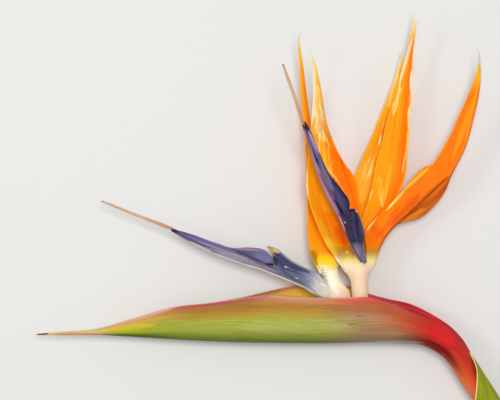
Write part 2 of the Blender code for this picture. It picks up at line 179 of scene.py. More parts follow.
floor_mesh = bpy.data.meshes.new("floor")
corners = [(x * FLOOR_HALF, y * FLOOR_HALF, -FLOOR_DROP) for x, y in ((-1, -1), (1, -1), (1, 1), (-1, 1))]
floor_mesh.from_pydata(corners, [], [(0, 1, 2, 3)])
floor = bpy.data.objects.new("floor", floor_mesh)
bpy.context.scene.collection.objects.link(floor)
floor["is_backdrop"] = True
floor_paint = bpy.data.materials.new("floor_paint")
floor_paint.use_nodes = True
floor_paint.node_tree.nodes["Principled BSDF"].inputs["Base Color"].default_value = (0.74, 0.74, 0.73, 1)
floor_paint.node_tree.nodes["Principled BSDF"].inputs["Roughness"].default_value = 0.7
floor_mesh.materials.append(floor_paint)

# %% [markdown]
# ## Skins
# A petal is a thin closed skin: two sheets of points with a rim between them. A tube is a stack of rings
# with a closed end. Both are made here from whole arrays of points. Each keeps a UV map called skin,
# with U across the piece and V along it, so a pattern can follow the surface. A Solidify modifier could
# give a sheet its thickness, but not one that thins towards the margins, as a petal's does.

# %% Put points and faces into a piece
def make_piece(name, points, faces, corner_uv, node, look, marks=None):
    """Make one closed piece whose faces point outwards, and let it stand for a solid of the frame.

    The volume inside is a third of the sum of corner . (edge x edge). Where it is negative the faces
    point inwards, so every face is turned round.
    """
    points = np.asarray(points, float)
    a, b, c, d = (points[faces[:, k]] for k in range(4))
    volume = np.einsum("ij,ij->", a, np.cross(b, c)) + np.einsum("ij,ij->", a, np.cross(c, d))
    if volume < 0:
        faces = faces[:, ::-1]
        corner_uv = corner_uv[:, ::-1]
    mesh = bpy.data.meshes.new(name)
    rows = [tuple(dict.fromkeys(face)) for face in faces.tolist()]
    mesh.from_pydata(points.tolist(), [], rows)
    kept = np.array([[corner not in face[:k] for k, corner in enumerate(face)] for face in faces.tolist()])
    layer = mesh.uv_layers.new(name="skin")
    layer.data.foreach_set("uv", corner_uv[kept].astype(np.float32).ravel())
    for mark, values in (marks or {}).items():
        attribute = mesh.attributes.new(mark, "FLOAT", "POINT")
        attribute.data.foreach_set("value", np.asarray(values, np.float32).ravel())
    mesh.shade_smooth()
    mesh.materials.append(look)
    piece = bpy.data.objects.new(name, mesh)
    bpy.context.scene.collection.objects.link(piece)
    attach(piece, "root")
    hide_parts(node)
    print(name, "has", len(points), "points and", len(faces), "faces")
    return piece


def outward(sheet):
    """Unit normals of a sheet of points: the slope across it times the slope along it."""
    normals = np.cross(np.gradient(sheet, axis=1), np.gradient(sheet, axis=0))
    return normals / np.maximum(np.linalg.norm(normals, axis=2, keepdims=True), 1e-12)


def skin_between(front, back):
    """Points, faces and UVs of a closed skin: a front sheet, a back sheet, and a rim that joins them."""
    rows, columns = front.shape[:2]
    index = np.arange(rows * columns).reshape(rows, columns)
    face = np.stack((index[:-1, :-1], index[1:, :-1], index[1:, 1:], index[:-1, 1:]), -1).reshape(-1, 4)
    loop = np.concatenate((index[0, :-1], index[:-1, -1], index[-1, :0:-1], index[:0:-1, 0]))
    after = np.roll(loop, -1)
    rim = np.stack((loop, after, after + index.size, loop + index.size), -1)
    faces = np.concatenate((face, face[:, ::-1] + index.size, rim))
    along, across = np.meshgrid(np.linspace(0, 1, rows), np.linspace(0, 1, columns), indexing="ij")
    uv = np.stack((across, along), -1).reshape(-1, 2)
    uv = np.concatenate((uv, uv))
    points = np.concatenate((front.reshape(-1, 3), back.reshape(-1, 3)))
    return points, faces, uv[faces]


def skin_round(rings):
    """Points, faces and UVs of a tube of rings, closed at each end by faces that meet in one point."""
    rows, columns = rings.shape[:2]
    index = np.arange(rows * columns).reshape(rows, columns)
    turned = np.roll(index, -1, axis=1)
    side = np.stack((index[:-1], index[1:], turned[1:], turned[:-1]), -1)
    u, v = np.linspace(0, 1, columns + 1), np.linspace(0, 1, rows)
    steps = ((0, 0), (1, 0), (1, 1), (0, 1))
    side_uv = np.stack([np.stack(np.meshgrid(u[c:columns + c], v[r:rows - 1 + r]), -1) for r, c in steps], -2)
    first_pole, last_pole = np.full(columns, index.size), np.full(columns, index.size + 1)
    start = np.stack((first_pole, index[0], turned[0], first_pole), -1)
    end = np.stack((last_pole, turned[-1], index[-1], last_pole), -1)
    middle = (u[:-1] + u[1:]) / 2
    start_uv = np.stack([np.stack((k, 0 * k), -1) for k in (middle, u[:-1], u[1:], middle)], 1)
    end_uv = np.stack([np.stack((k, 0 * k + 1), -1) for k in (middle, u[1:], u[:-1], middle)], 1)
    points = np.concatenate((rings.reshape(-1, 3), rings[:1].mean(1), rings[-1:].mean(1)))
    faces = np.concatenate((side.reshape(-1, 4), start, end))
    return points, faces, np.concatenate((side_uv.reshape(-1, 4, 2), start_uv, end_uv))


# %% Petal and tube shapes
def blade_sheet(stations, rows, columns, fold):
    """The middle sheet of a petal, from stations of left margin, keel and right margin.

    Along s each of the three follows a smooth curve. Across t the sheet is the parabola through all
    three, mixed with the two straight lines that meet in the keel: fold is the share of the lines.
    """
    guides = placed(stations)
    knots = running_share(guides[:, 1])
    s = np.linspace(0, 1, rows)
    lines = smooth_rows(knots, guides.reshape(len(guides), 9), s).reshape(rows, 3, 1, 3)
    left, keel, right = lines[:, 0], lines[:, 1], lines[:, 2]
    t = np.linspace(0, 1, columns)[None, :, None]
    pull = 2 * keel - (left + right) / 2
    arch = (1 - t) ** 2 * left + 2 * t * (1 - t) * pull + t * t * right
    hinge = np.where(t < 0.5, left + (keel - left) * 2 * t, keel + (right - keel) * (2 * t - 1))
    return arch * (1 - fold) + hinge * fold


def furrow(s, t, line, depth, width, start=0.0, end=1.0, soft=0.06):
    """A groove of a bell shape across t. It follows the line (t at the base, t at the tip) from start to end."""
    centre = line[0] + (line[1] - line[0]) * s
    share = eased(s, start - soft, start + soft) * (1 - eased(s, end - soft, end + soft))
    return -depth * np.exp(-(((t - centre) / width) ** 2)) * share


# A blade thins by this share from here to its tip. A point counts as on the back where its normal's upward
# part falls from the second of these numbers to the first
TIP_THINNING = 0.82
TIP_START = 0.9
BACK_TURNS = (-0.15, 0.1)


def make_blade(name, stations, look, rows=150, columns=45, fold=0.3, middle=0.8, margin=0.3, relief=None):
    """Make a petal: its middle sheet, moved by relief(s, t) in millimetres, with half its thickness each side.

    The thickness falls from the middle to the margins with the cube of the distance from the keel.
    """
    sheet = blade_sheet(stations, rows, columns, fold)
    s, t = np.linspace(0, 1, rows)[:, None], np.linspace(0, 1, columns)[None, :]
    if relief is not None:
        sheet = sheet + outward(sheet) * (relief(s, t) * MM)[..., None]
    thickness = margin + (middle - margin) * (1 - np.abs(2 * t - 1) ** 3)
    thickness = thickness * (1 - TIP_THINNING * eased(s, TIP_START, 1.0))
    facing = outward(sheet)
    half = facing * (thickness * MM / 2)[..., None]
    points, faces, uv = skin_between(sheet + half, sheet - half)
    up = facing[..., 2].ravel()
    back = 1 - eased(np.concatenate((up, -up)), *BACK_TURNS)
    return make_piece(name, points, faces, uv, name, look, {"back": back})


def read_along(stations, rows):
    """Rows of metres and sizes at even steps along a stalk, and the share of it where each station lies.

    A station is a guide point and then one or more sizes.
    """
    guides = np.array([placed(station[0]) for station in stations])
    sizes = np.array([station[1:] for station in stations], float)
    shares = running_share(guides)
    return smooth_rows(shares, np.concatenate((guides, sizes), axis=1), np.linspace(0, 1, rows)), shares


def ways_along(path):
    """Two unit directions at each point of a path: sideways, level and square to it, and upwards."""
    ahead = np.gradient(path, axis=0)
    ahead = ahead / np.linalg.norm(ahead, axis=1, keepdims=True)
    sideways = np.cross((0, 0, 1), ahead)
    sideways = sideways / np.linalg.norm(sideways, axis=1, keepdims=True)
    return sideways, np.cross(ahead, sideways)


def rings_along(path, widths, depths, columns, grow=None):
    """Rings round a path. Each is an ellipse square to the path, width sideways and depth upwards.

    grow(s, a) adds millimetres outwards, with s the share of the path and a the share of the turn.
    """
    sideways, upwards = ways_along(path)
    a = np.arange(columns)[None, :] / columns
    s = running_share(path)[:, None]
    extra = 0 if grow is None else grow(s, a)
    wide = (widths[:, None] + extra) * np.cos(2 * np.pi * a)
    deep = (depths[:, None] + extra) * np.sin(2 * np.pi * a)
    return path[:, None] + (sideways[:, None] * wide[..., None] + upwards[:, None] * deep[..., None]) * MM


# The thinnest that a stalk may be, as a half width in millimetres
THINNEST = 0.05


def make_tube(name, stations, look, rows=90, columns=48, grow=None, marks=None):
    """Make a stalk from stations of a guide point, its half width and its half depth in millimetres."""
    read, shares = read_along(stations, rows)
    widths, depths = np.maximum(read[:, 3:], THINNEST).T
    rings = rings_along(read[:, :3], widths, depths, columns, grow)
    points, faces, uv = skin_round(rings)
    return make_piece(name, points, faces, uv, name, look, marks)


# %% [markdown]
# ## Paint
# The skins are painted by shader nodes, with no pictures. Three effects come back in many materials, so
# each is a node group: fibres that run along a piece, soft mottling, and a soft pointed stroke between
# two places on the flower. A colour ramp then turns a position on the skin into a named plant colour.

# %% Colours
def shade(red, green, blue):
    """A colour given as a screen shows it, from 0 to 255, in the linear light that sockets take."""
    level = np.array((red, green, blue)) / 255
    linear = np.where(level <= 0.04045, level / 12.92, ((level + 0.055) / 1.055) ** 2.4)
    return (*linear.tolist(), 1.0)


# Colours of the sepals and the floret tubes
AMBER = shade(255, 148, 6)
DEEP_ORANGE = shade(252, 114, 0)
EMBER = shade(214, 74, 4)
GOLD = shade(255, 178, 30)
PALE_GOLD = shade(255, 224, 140)
LEMON = shade(255, 218, 40)
OLD_GOLD = shade(196, 146, 36)
BLUSH = shade(236, 204, 172)
GREY_HAIR = shade(222, 214, 196)
BRONZE = shade(150, 84, 8)
PINK_BROWN = shade(216, 124, 74)
STONE_CREAM = shade(206, 188, 152)
TANGERINE = shade(232, 116, 48)
SUN_ORANGE = shade(255, 170, 22)
# Painted shade in creases, where two sepals meet, and at a sepal's foot
SHADE_BROWN = shade(150, 66, 8)
# Painted sheen on the glossy streaks of the front floret's near sepal
SHEEN_CREAM = shade(252, 226, 164)
WARM_LEMON = shade(255, 212, 70)
ORANGE = shade(252, 116, 2)
LIGHT_GOLD = shade(255, 196, 60)
# Painted highlights: glints, glossy streaks, flecks and lit margins
HIGHLIGHT_LEMON_CREAM = shade(255, 234, 140)
GOLDEN_TAN = shade(240, 176, 62)
# Painted sheen high on the front floret's near sepal
SHEEN_PALE_TAN = shade(248, 212, 130)
# Painted highlight along the near sepal's left margin
HIGHLIGHT_GREY_CREAM = shade(232, 222, 196)
# Painted shade and shadow in the back sepal's long crease
CREASE_SHADE_RUST = shade(140, 48, 2)
FLAP_ORANGE = shade(184, 72, 12)
CLAW_YELLOW = shade(248, 226, 128)
CLAW_TAN = shade(212, 178, 112)
# Painted shade in the hollows of the wrinkles
WRINKLE_SHADE_OLIVE = shade(176, 168, 116)
WARM_CREAM = shade(242, 216, 182)

# Colours of the tongues, hoods and styles
INDIGO = shade(60, 50, 88)
VIOLET = shade(94, 84, 130)
LAVENDER = shade(160, 148, 178)
MAUVE = shade(140, 108, 132)
SLATE_BLUE = shade(108, 112, 140)
NIGHT = shade(26, 20, 40)
TAN = shade(190, 152, 118)
PEACH = shade(200, 142, 112)
RUST = shade(150, 80, 50)
FOOT_VIOLET = shade(134, 122, 150)
EDGE_CREAM = shade(226, 214, 202)
PALE_LILAC = shade(136, 130, 170)
SLATE_VIOLET = shade(116, 110, 152)
GREY_LAVENDER = shade(152, 144, 160)
PALE_GREY = shade(206, 198, 190)
PALE_SLATE = shade(134, 142, 166)
BLUE_SLATE = shade(84, 90, 128)
DEEP_BLUE = shade(60, 64, 104)
DUSK_MAUVE = shade(172, 130, 154)
PINK_MAUVE = shade(190, 158, 194)
PINK_FLECK = shade(196, 150, 192)
CREAM_TAN = shade(218, 196, 134)
LIGHT_TAN = shade(214, 176, 140)
SLATE_MIST = shade(154, 156, 170)
DEEP_INDIGO = shade(40, 30, 56)
BLUE_VIOLET = shade(66, 58, 108)
ROSE_MAUVE = shade(190, 130, 160)
# Painted pink highlight along the rear tongue's rib
PINK_HIGHLIGHT_GREY = shade(190, 164, 180)

# Colours of the spathe, the stem and its sheath
MOSS = shade(88, 104, 30)
LIME = shade(178, 190, 72)
OCHRE = shade(206, 158, 52)
HOT_ROSE = shade(234, 92, 92)
STONE = shade(158, 130, 98)
CLAY = shade(178, 116, 80)
CRIMSON = shade(178, 34, 48)
# Painted shade low on the bend, and a painted shadow under the near rim
SHADE_OXBLOOD = shade(130, 4, 0)
DUSKY_PINK = shade(236, 112, 124)
LIGHT_ROSE = shade(255, 168, 158)
PALE_FIBRE = shade(214, 212, 150)
ROSE_RED = shade(204, 72, 84)
BROWN_ROSE = shade(138, 80, 56)
ROSE_GREY = shade(172, 124, 98)
TIP_BROWN = shade(128, 66, 40)
DARK_STONE = shade(132, 112, 88)
SALMON_TAN = shade(206, 140, 88)
PALE_SALMON = shade(224, 158, 120)
HOT_SALMON = shade(226, 96, 78)
# Painted light on the neck's lower edge
LIT_NECK_ORANGE = shade(240, 116, 64)
NECK_BROWN = shade(204, 78, 30)
SUN_OCHRE = shade(220, 180, 82)
SAND = shade(180, 150, 104)
RUST_RED = shade(190, 56, 30)
NECK_ORANGE = shade(230, 78, 26)
SHEATH_GREEN = shade(152, 156, 12)
SHEATH_OLIVE = shade(112, 122, 14)
MARGIN_CREAM = shade(252, 222, 152)
BEAK_CREAM = shade(246, 214, 140)
OLIVE = shade(92, 102, 26)
LIME_LEAF = shade(172, 184, 36)
SOFT_LIME = shade(172, 180, 70)
YELLOW_OCHRE = shade(186, 150, 50)
OCHRE_ORANGE = shade(184, 128, 54)
SALMON = shade(222, 130, 96)
PALE_ROSE = shade(232, 176, 158)
DUSTY_ROSE = shade(170, 84, 80)
SAND_BROWN = shade(178, 122, 84)
ROSE_BROWN = shade(186, 104, 62)
TERRACOTTA = shade(206, 92, 54)
SALMON_RED = shade(226, 84, 60)
BRIGHT_SCARLET = shade(232, 34, 36)
CRIMSON_ROSE = shade(246, 66, 76)
DEEP_OCHRE = shade(254, 204, 76)
# Painted highlight along the keel
KEEL_HIGHLIGHT_STONE = shade(206, 192, 164)
CLAY_DARK = shade(126, 74, 44)
FIBRE_SHADE = shade(150, 146, 120)

# Colours that several of these share
CREAM = shade(246, 228, 194)
WHITE = shade(255, 252, 244)
BLUSH_ROSE = shade(236, 190, 176)
MIST = shade(204, 206, 208)
LEAF = shade(122, 142, 44)
SCARLET = shade(212, 32, 32)
COOL_WHITE = shade(228, 222, 214)
POINT_YELLOW = shade(244, 204, 60)
CREAM_WHITE = shade(252, 244, 220)

# %% Small helpers that place nodes
def feed(tree, socket, value):
    """Link a socket's value, or set it if it is a plain number or colour."""
    if isinstance(value, bpy.types.NodeSocket):
        tree.links.new(value, socket)
    else:
        socket.default_value = value


def put(tree, kind, inputs=None, **settings):
    """Place a shader node with its settings, and feed its inputs by name."""
    made = tree.nodes.new("ShaderNode" + kind)
    for name, value in settings.items():
        setattr(made, name, value)
    for name, value in (inputs or {}).items():
        feed(tree, made.inputs[name], value)
    return made


def reckon(tree, operation, *values):
    """The result of a Math node."""
    made = tree.nodes.new("ShaderNodeMath")
    made.operation = operation
    for socket, value in zip(made.inputs, values):
        feed(tree, socket, value)
    return made.outputs[0]


def vector(tree, operation, first, second):
    """The result of a Vector Math node of two vectors: a number for a dot product or a distance."""
    made = put(tree, "VectorMath", {0: first, 1: second}, operation=operation)
    return made.outputs["Value" if operation in ("DOT_PRODUCT", "DISTANCE") else "Vector"]


def mixed(tree, share, first, second, mode="MIX"):
    """A mix of two colours."""
    made = tree.nodes.new("ShaderNodeMix")
    made.data_type = "RGBA"
    made.blend_type = mode
    for place, value in ((0, share), (6, first), (7, second)):
        feed(tree, made.inputs[place], value)
    return made.outputs[2]


def tinted(tree, colour, tint, mask, strength, mode="MIX"):
    """A colour with a tint laid over it where the mask is, at a strength from 0 to 1."""
    return mixed(tree, reckon(tree, "MULTIPLY", mask, strength), colour, tint, mode)


def mark_on(tree, name):
    """The value that the mesh carries under this name."""
    return put(tree, "Attribute", attribute_name=name).outputs["Fac"]


def ramp(tree, value, stops, interpolation="LINEAR"):
    """A colour ramp from stops of (position, colour) or (position, colour, strength). Returns its node."""
    made = tree.nodes.new("ShaderNodeValToRGB")
    made.color_ramp.interpolation = interpolation
    points = made.color_ramp.elements
    while len(points) < len(stops):
        points.new(0.5)
    for point, stop in zip(points, stops):
        point.position = stop[0]
    for point, stop in zip(points, stops):
        point.color = (*stop[1][:3], stop[2] if len(stop) > 2 else 1.0)
    feed(tree, made.inputs[0], value)
    return made


def band(tree, value, low, high):
    """0 below low, 1 above high, and a soft change between them. It runs down where low is above high."""
    made = put(tree, "MapRange", {"Value": value, "From Min": low, "From Max": high}, interpolation_type="SMOOTHSTEP")
    return made.outputs[0]


def new_group(name, inputs, outputs):
    """An empty node group. An input is a number, or a place where its first value has three parts."""
    group = bpy.data.node_groups.new(name, "ShaderNodeTree")
    for socket, value in inputs.items():
        kind = "NodeSocketVector" if isinstance(value, tuple) else "NodeSocketFloat"
        made = group.interface.new_socket(name=socket, in_out="INPUT", socket_type=kind)
        made.default_value = value
    for socket in outputs:
        group.interface.new_socket(name=socket, in_out="OUTPUT", socket_type="NodeSocketFloat")
    return group, group.nodes.new("NodeGroupInput"), group.nodes.new("NodeGroupOutput")


def use(tree, group, **values):
    """Place a node group in a material, with its own values."""
    made = tree.nodes.new("ShaderNodeGroup")
    made.node_tree = group
    for name, value in values.items():
        feed(tree, made.inputs[name.replace("_", " ")], value)
    return made.outputs


# %% The three effects
def skin_axes(tree):
    """U, across the piece, and V, along it."""
    parts = put(tree, "SeparateXYZ", {"Vector": put(tree, "UVMap", uv_map="skin").outputs["UV"]})
    return parts.outputs["X"], parts.outputs["Y"]


fibres, taken, given = new_group("fibres", {"Across": 60.0, "Along": 3.0, "Seed": 0.0}, ["Streak", "Line"])
across, along = skin_axes(fibres)
spot_on_skin = put(fibres, "CombineXYZ", {
    "X": reckon(fibres, "MULTIPLY", across, taken.outputs["Across"]),
    "Y": reckon(fibres, "MULTIPLY", along, taken.outputs["Along"]),
    "Z": taken.outputs["Seed"],
}).outputs[0]
noise = put(fibres, "TexNoise", {"Vector": spot_on_skin, "Scale": 1.0, "Detail": 3.0, "Roughness": 0.6}).outputs[0]
# A streak swells over the noise's whole range, and a line shows only on its crests
fibres.links.new(band(fibres, noise, 0.3, 0.7), given.inputs["Streak"])
fibres.links.new(band(fibres, noise, 0.56, 0.66), given.inputs["Line"])

mottle, taken, given = new_group("mottle", {"Size": 3.0, "Seed": 0.0}, ["Patch", "Grain"])
seed_and_place = {"Vector": put(mottle, "TexCoord").outputs["Object"], "W": taken.outputs["Seed"]}
paces = reckon(mottle, "DIVIDE", 1 / MM, taken.outputs["Size"])
grain_paces = reckon(mottle, "MULTIPLY", paces, 9.0)
broad = put(mottle, "TexNoise", {**seed_and_place, "Scale": paces, "Detail": 2.0}, noise_dimensions="4D")
fine = put(mottle, "TexNoise", {**seed_and_place, "Scale": grain_paces, "Detail": 1.0}, noise_dimensions="4D")
mottle.links.new(band(mottle, broad.outputs[0], 0.35, 0.65), given.inputs["Patch"])
mottle.links.new(fine.outputs[0], given.inputs["Grain"])

stroke, taken, given = new_group("stroke", {"From": (0, 0, 0), "To": (0, 0, 0), "Half width": 0.001}, ["Mask"])
seen_from_above = vector(stroke, "MULTIPLY", put(stroke, "TexCoord").outputs["Object"], (1, 1, 0))
reach = vector(stroke, "SUBTRACT", seen_from_above, taken.outputs["From"])
whole = vector(stroke, "SUBTRACT", taken.outputs["To"], taken.outputs["From"])
whole_square = vector(stroke, "DOT_PRODUCT", whole, whole)
share = reckon(stroke, "DIVIDE", vector(stroke, "DOT_PRODUCT", reach, whole), whole_square)
share = put(stroke, "Clamp", {"Value": share}).outputs[0]
nearest = put(stroke, "VectorMath", {0: whole, "Scale": share}, operation="SCALE").outputs[0]
# A stroke's width falls from its middle to both ends with the cube of the distance from the middle
off_middle = reckon(stroke, "ABSOLUTE", reckon(stroke, "MULTIPLY_ADD", share, 2.0, -1.0))
pointed = reckon(stroke, "SUBTRACT", 1.05, reckon(stroke, "POWER", off_middle, 3.0))
width_here = reckon(stroke, "MULTIPLY", taken.outputs["Half width"], pointed)
gap_in_widths = reckon(stroke, "DIVIDE", vector(stroke, "DISTANCE", reach, nearest), width_here)
stroke.links.new(band(stroke, gap_in_widths, 1.15, 0.1), given.inputs["Mask"])
print("node groups:", [group.name for group in bpy.data.node_groups])

# %% Materials for soft plant skin
def new_look(name, roughness=0.42, coat=0.0, coat_roughness=0.2, soft=0.0, gloss=0.3):
    """A material with its node tree and its Principled shader. soft lets some light in under the skin."""
    made = bpy.data.materials.new(name)
    made.use_nodes = True
    shader = made.node_tree.nodes["Principled BSDF"]
    settings = {
        "Roughness": roughness, "Specular IOR Level": gloss, "Coat Weight": coat, "Coat Roughness": coat_roughness,
        "Subsurface Weight": soft, "Subsurface Radius": (1.0, 0.4, 0.15), "Subsurface Scale": 1.2 * MM,
    }
    for socket, value in settings.items():
        shader.inputs[socket].default_value = value
    return made, made.node_tree, shader


# The share of a torn stroke that its fibres may take away, and how far in from its edge they reach
TORN_SHARE = 0.28
TORN_EDGE = 0.35


# Strokes lay marks of the thing's own colour, and also painted highlights, painted glints and painted shade
def brush(tree, colour, strokes, height, lines):
    """Lay strokes of paint on the upper side: from pixel, to pixel, half width in millimetres, colour, strength.

    height is how high the skin lies above the middle plane there. A sixth value says how far lines, a mask
    of fibres, moves the stroke's edge, so that it looks torn.
    """
    upper_side = reckon(tree, "SUBTRACT", 1.0, mark_on(tree, "back"))
    for start, end, half_width, tint, strength, *broken in strokes.values():
        ends = [(*placed((*pixel, height))[:2].tolist(), 0.0) for pixel in (start, end)]
        mask = use(tree, stroke, From=ends[0], To=ends[1], Half_width=half_width * MM)["Mask"]
        if broken:
            core_share = reckon(tree, "MULTIPLY", mask, 1 - TORN_SHARE * broken[0])
            uneven = reckon(tree, "MULTIPLY_ADD", reckon(tree, "SUBTRACT", lines, 0.5), broken[0], core_share)
            core = band(tree, mask, 0.0, TORN_EDGE)
            mask = reckon(tree, "MULTIPLY", band(tree, uneven, TORN_EDGE, 1 - TORN_EDGE), core)
        colour = tinted(tree, colour, tint, reckon(tree, "MULTIPLY", mask, upper_side), strength)
    return colour


# Where the cream of each floret's base starts to fade and where it has gone, as rows of the photograph,
# and the colours between them
BASE_FADES = {
    "front": (274.0, 242.0, [
        (0.0, WARM_CREAM, 1.0), (0.28, CREAM, 1.0), (0.44, CLAW_YELLOW, 1.0), (0.58, CLAW_TAN, 1.0),
        (0.7, OLD_GOLD, 0.9), (0.82, OLD_GOLD, 0.55), (0.98, AMBER, 0.0),
    ]),
    "rear": (292.0, 248.0, [
        (0.0, WARM_CREAM, 1.0), (0.2, CREAM_WHITE, 1.0), (0.46, CREAM_WHITE, 1.0), (0.56, CLAW_YELLOW, 1.0),
        (0.66, LEMON, 1.0), (0.84, LEMON, 0.75), (0.99, GOLD, 0.0),
    ]),
}


def fade_to_base(tree, colour, floret, streak):
    """Turn a colour into the cream of the floret's base. Sepals and tube share it, so no joint shows."""
    low_row, high_row, stops = BASE_FADES[floret]
    low, high = (float(placed((PHOTO_MIDDLE[0], row, 0.0))[1]) for row in (low_row, high_row))
    place = put(tree, "SeparateXYZ", {"Vector": put(tree, "TexCoord").outputs["Object"]}).outputs["Y"]
    moved = reckon(tree, "MULTIPLY_ADD", reckon(tree, "SUBTRACT", streak, 0.5), 0.9 * MM, place)
    share = put(tree, "MapRange", {"Value": moved, "From Min": low, "From Max": high}).outputs[0]
    over = ramp(tree, share, stops)
    return mixed(tree, over.outputs["Alpha"], colour, over.outputs["Color"])


def summed(tree, first, first_share, second, second_share):
    """A share of one value and a share of another, added."""
    return reckon(tree, "MULTIPLY_ADD", first, first_share, reckon(tree, "MULTIPLY", second, second_share))


def dress(tree, shader, colour, height, depth):
    """Give the shader its colour, and a bump whose height from 0 to 1 stands for depth millimetres."""
    tree.links.new(colour, shader.inputs["Base Color"])
    bump = put(tree, "Bump", {"Height": height, "Distance": depth * MM, "Strength": 1.0})
    tree.links.new(bump.outputs[0], shader.inputs["Normal"])


# %% [markdown]
# ## Sepals
# Each floret has three sepals, stiff and waxy, folded along a keel. Their fibres run from base to tip.
# They are white where they leave the floret's tube, go through a narrow band of old gold into orange,
# pale towards the point, and end in a withered grey hair. One function paints them all: a ramp across
# the blade gives its orange body, one along it paints the tip over that, and one over the flower's own
# height paints the cream base, which the tube shares.

# %% Sepal paint
# A painted glow: how much of its own colour a sepal gives off by itself. It lightens the shaded parts, as light
# through the thin skin would
PAINTED_GLOW = 0.06


def sepal_look(name, floret, body, ends, seed, height, strokes, deep=0.5):
    """Paint a sepal: body is a ramp across it, and ends one along it whose strength says how much it covers."""
    made, tree, shader = new_look(name, coat=0.01, coat_roughness=0.15, soft=0.08, gloss=0.08)
    u, v = skin_axes(tree)
    thin = use(tree, fibres, Across=70.0, Along=2.2, Seed=seed)
    wide = use(tree, fibres, Across=16.0, Along=1.6, Seed=seed + 3)
    loose = use(tree, fibres, Across=20.0, Along=14.0, Seed=seed + 5)
    patches = use(tree, mottle, Size=9.0, Seed=seed)
    v_moved = reckon(tree, "MULTIPLY_ADD", wide["Streak"], 0.03, v)
    colour = ramp(tree, u, body, "EASE").outputs["Color"]
    colour = tinted(tree, colour, DEEP_ORANGE, wide["Streak"], 0.5 * deep)
    colour = tinted(tree, colour, AMBER, patches["Patch"], 0.2)
    colour = tinted(tree, colour, GOLD, thin["Line"], 0.2)
    colour = tinted(tree, colour, EMBER, loose["Line"], 0.12)
    over = ramp(tree, v_moved, ends, "LINEAR")
    colour = mixed(tree, over.outputs["Alpha"], colour, over.outputs["Color"])
    colour = fade_to_base(tree, colour, floret, thin["Streak"])
    colour = brush(tree, colour, strokes, height, loose["Streak"])
    # The painted glow: the sepal gives off a little of its own colour
    tree.links.new(colour, shader.inputs["Emission Color"])
    shader.inputs["Emission Strength"].default_value = PAINTED_GLOW
    rough = reckon(tree, "MULTIPLY_ADD", patches["Grain"], 0.2, 0.46)
    tree.links.new(rough, shader.inputs["Roughness"])
    relief = summed(tree, thin["Streak"], 0.7, patches["Grain"], 0.3)
    relief = reckon(tree, "MULTIPLY", relief, reckon(tree, "SUBTRACT", 1.0, band(tree, v, 0.45, 0.85)))
    dress(tree, shader, colour, relief, 0.08)
    return made


# Each sepal's ramp along it: where the pale point and its hair begin
NEAR_ENDS = [(0.58, GOLDEN_TAN, 0.0), (0.68, GOLDEN_TAN, 0.75), (0.88, GOLDEN_TAN, 0.9), (0.94, POINT_YELLOW, 1.0),
             (0.965, POINT_YELLOW, 1.0), (0.985, GREY_HAIR, 1.0)]
FAR_ENDS = [(0.88, GOLD, 0.0), (0.95, PALE_GOLD, 0.8), (1.0, CREAM, 1.0)]
BACK_ENDS = [(0.84, GOLD, 0.0), (0.91, POINT_YELLOW, 0.7), (0.945, POINT_YELLOW, 1.0), (0.962, GREY_HAIR, 1.0)]
REAR_NEAR_ENDS = [(0.84, GOLD, 0.0), (0.92, POINT_YELLOW, 0.8), (0.955, POINT_YELLOW, 1.0), (0.98, GREY_HAIR, 1.0)]
REAR_BACK_ENDS = [(0.7, LIGHT_GOLD, 0.0), (0.84, LIGHT_GOLD, 0.8), (0.95, POINT_YELLOW, 1.0), (0.99, GREY_HAIR, 1.0)]

# %% Front floret: the near sepal
# Each station: the guide points of the left margin, the keel and the right margin
FRONT_SEPAL_NEAR = [
    ((350.5, 276, 1.8), (352, 277, -1.0), (356, 276.5, -3.2)),
    ((345.2, 269.6, 2.4), (350, 269, -1.1), (356, 268, -3.3)),
    ((338.8, 263.4, 3.6), (348.5, 262, -1.3), (357, 260, -2)),
    ((333.5, 255.3, 4.8), (346.6, 254, -1.4), (358, 252, -0.6)),
    ((327.8, 247.5, 6.3), (344.8, 246, -1.4), (360, 244, 0.7)),
    ((321.5, 234, 8), (342.5, 234, -1.4), (362, 234, 2)),
    ((309.5, 203, 9), (335, 205, -1.5), (359.5, 200, 1)),
    ((306.5, 180, 9), (332, 178, -0.8), (353.5, 176, 1)),
    ((307.5, 160, 9.2), (329.5, 160, 0.4), (344.5, 163.5, 2)),
    ((311, 125, 9.0), (321.5, 125, 6.4), (328.2, 128, 5.6)),
    ((313.1, 85, 10.6), (317.6, 85, 10.3), (320.6, 87, 9.6)),
    ((312.2, 60, 12), (313.3, 60, 12.1), (314.6, 61, 11.8)),
    ((310.7, 50.6, 12.2), (311.1, 50.4, 12.3), (311.5, 50.8, 12.2)),
]


def near_relief(s, t):
    """Two long creases, low ribs, and waves that grow towards the margins."""
    creases = furrow(s, t, (0.5, 0.46), 0.5, 0.035, 0.12, 0.85) + furrow(s, t, (0.2, 0.3), 0.3, 0.04, 0.2, 0.7)
    waves = 0.35 * wander(s, t, 11) * np.abs(2 * t - 1) ** 2
    return (creases + waves + 0.05 * np.sin(2 * np.pi * 15 * t)) * (1 - eased(s, 0.66, 0.84))


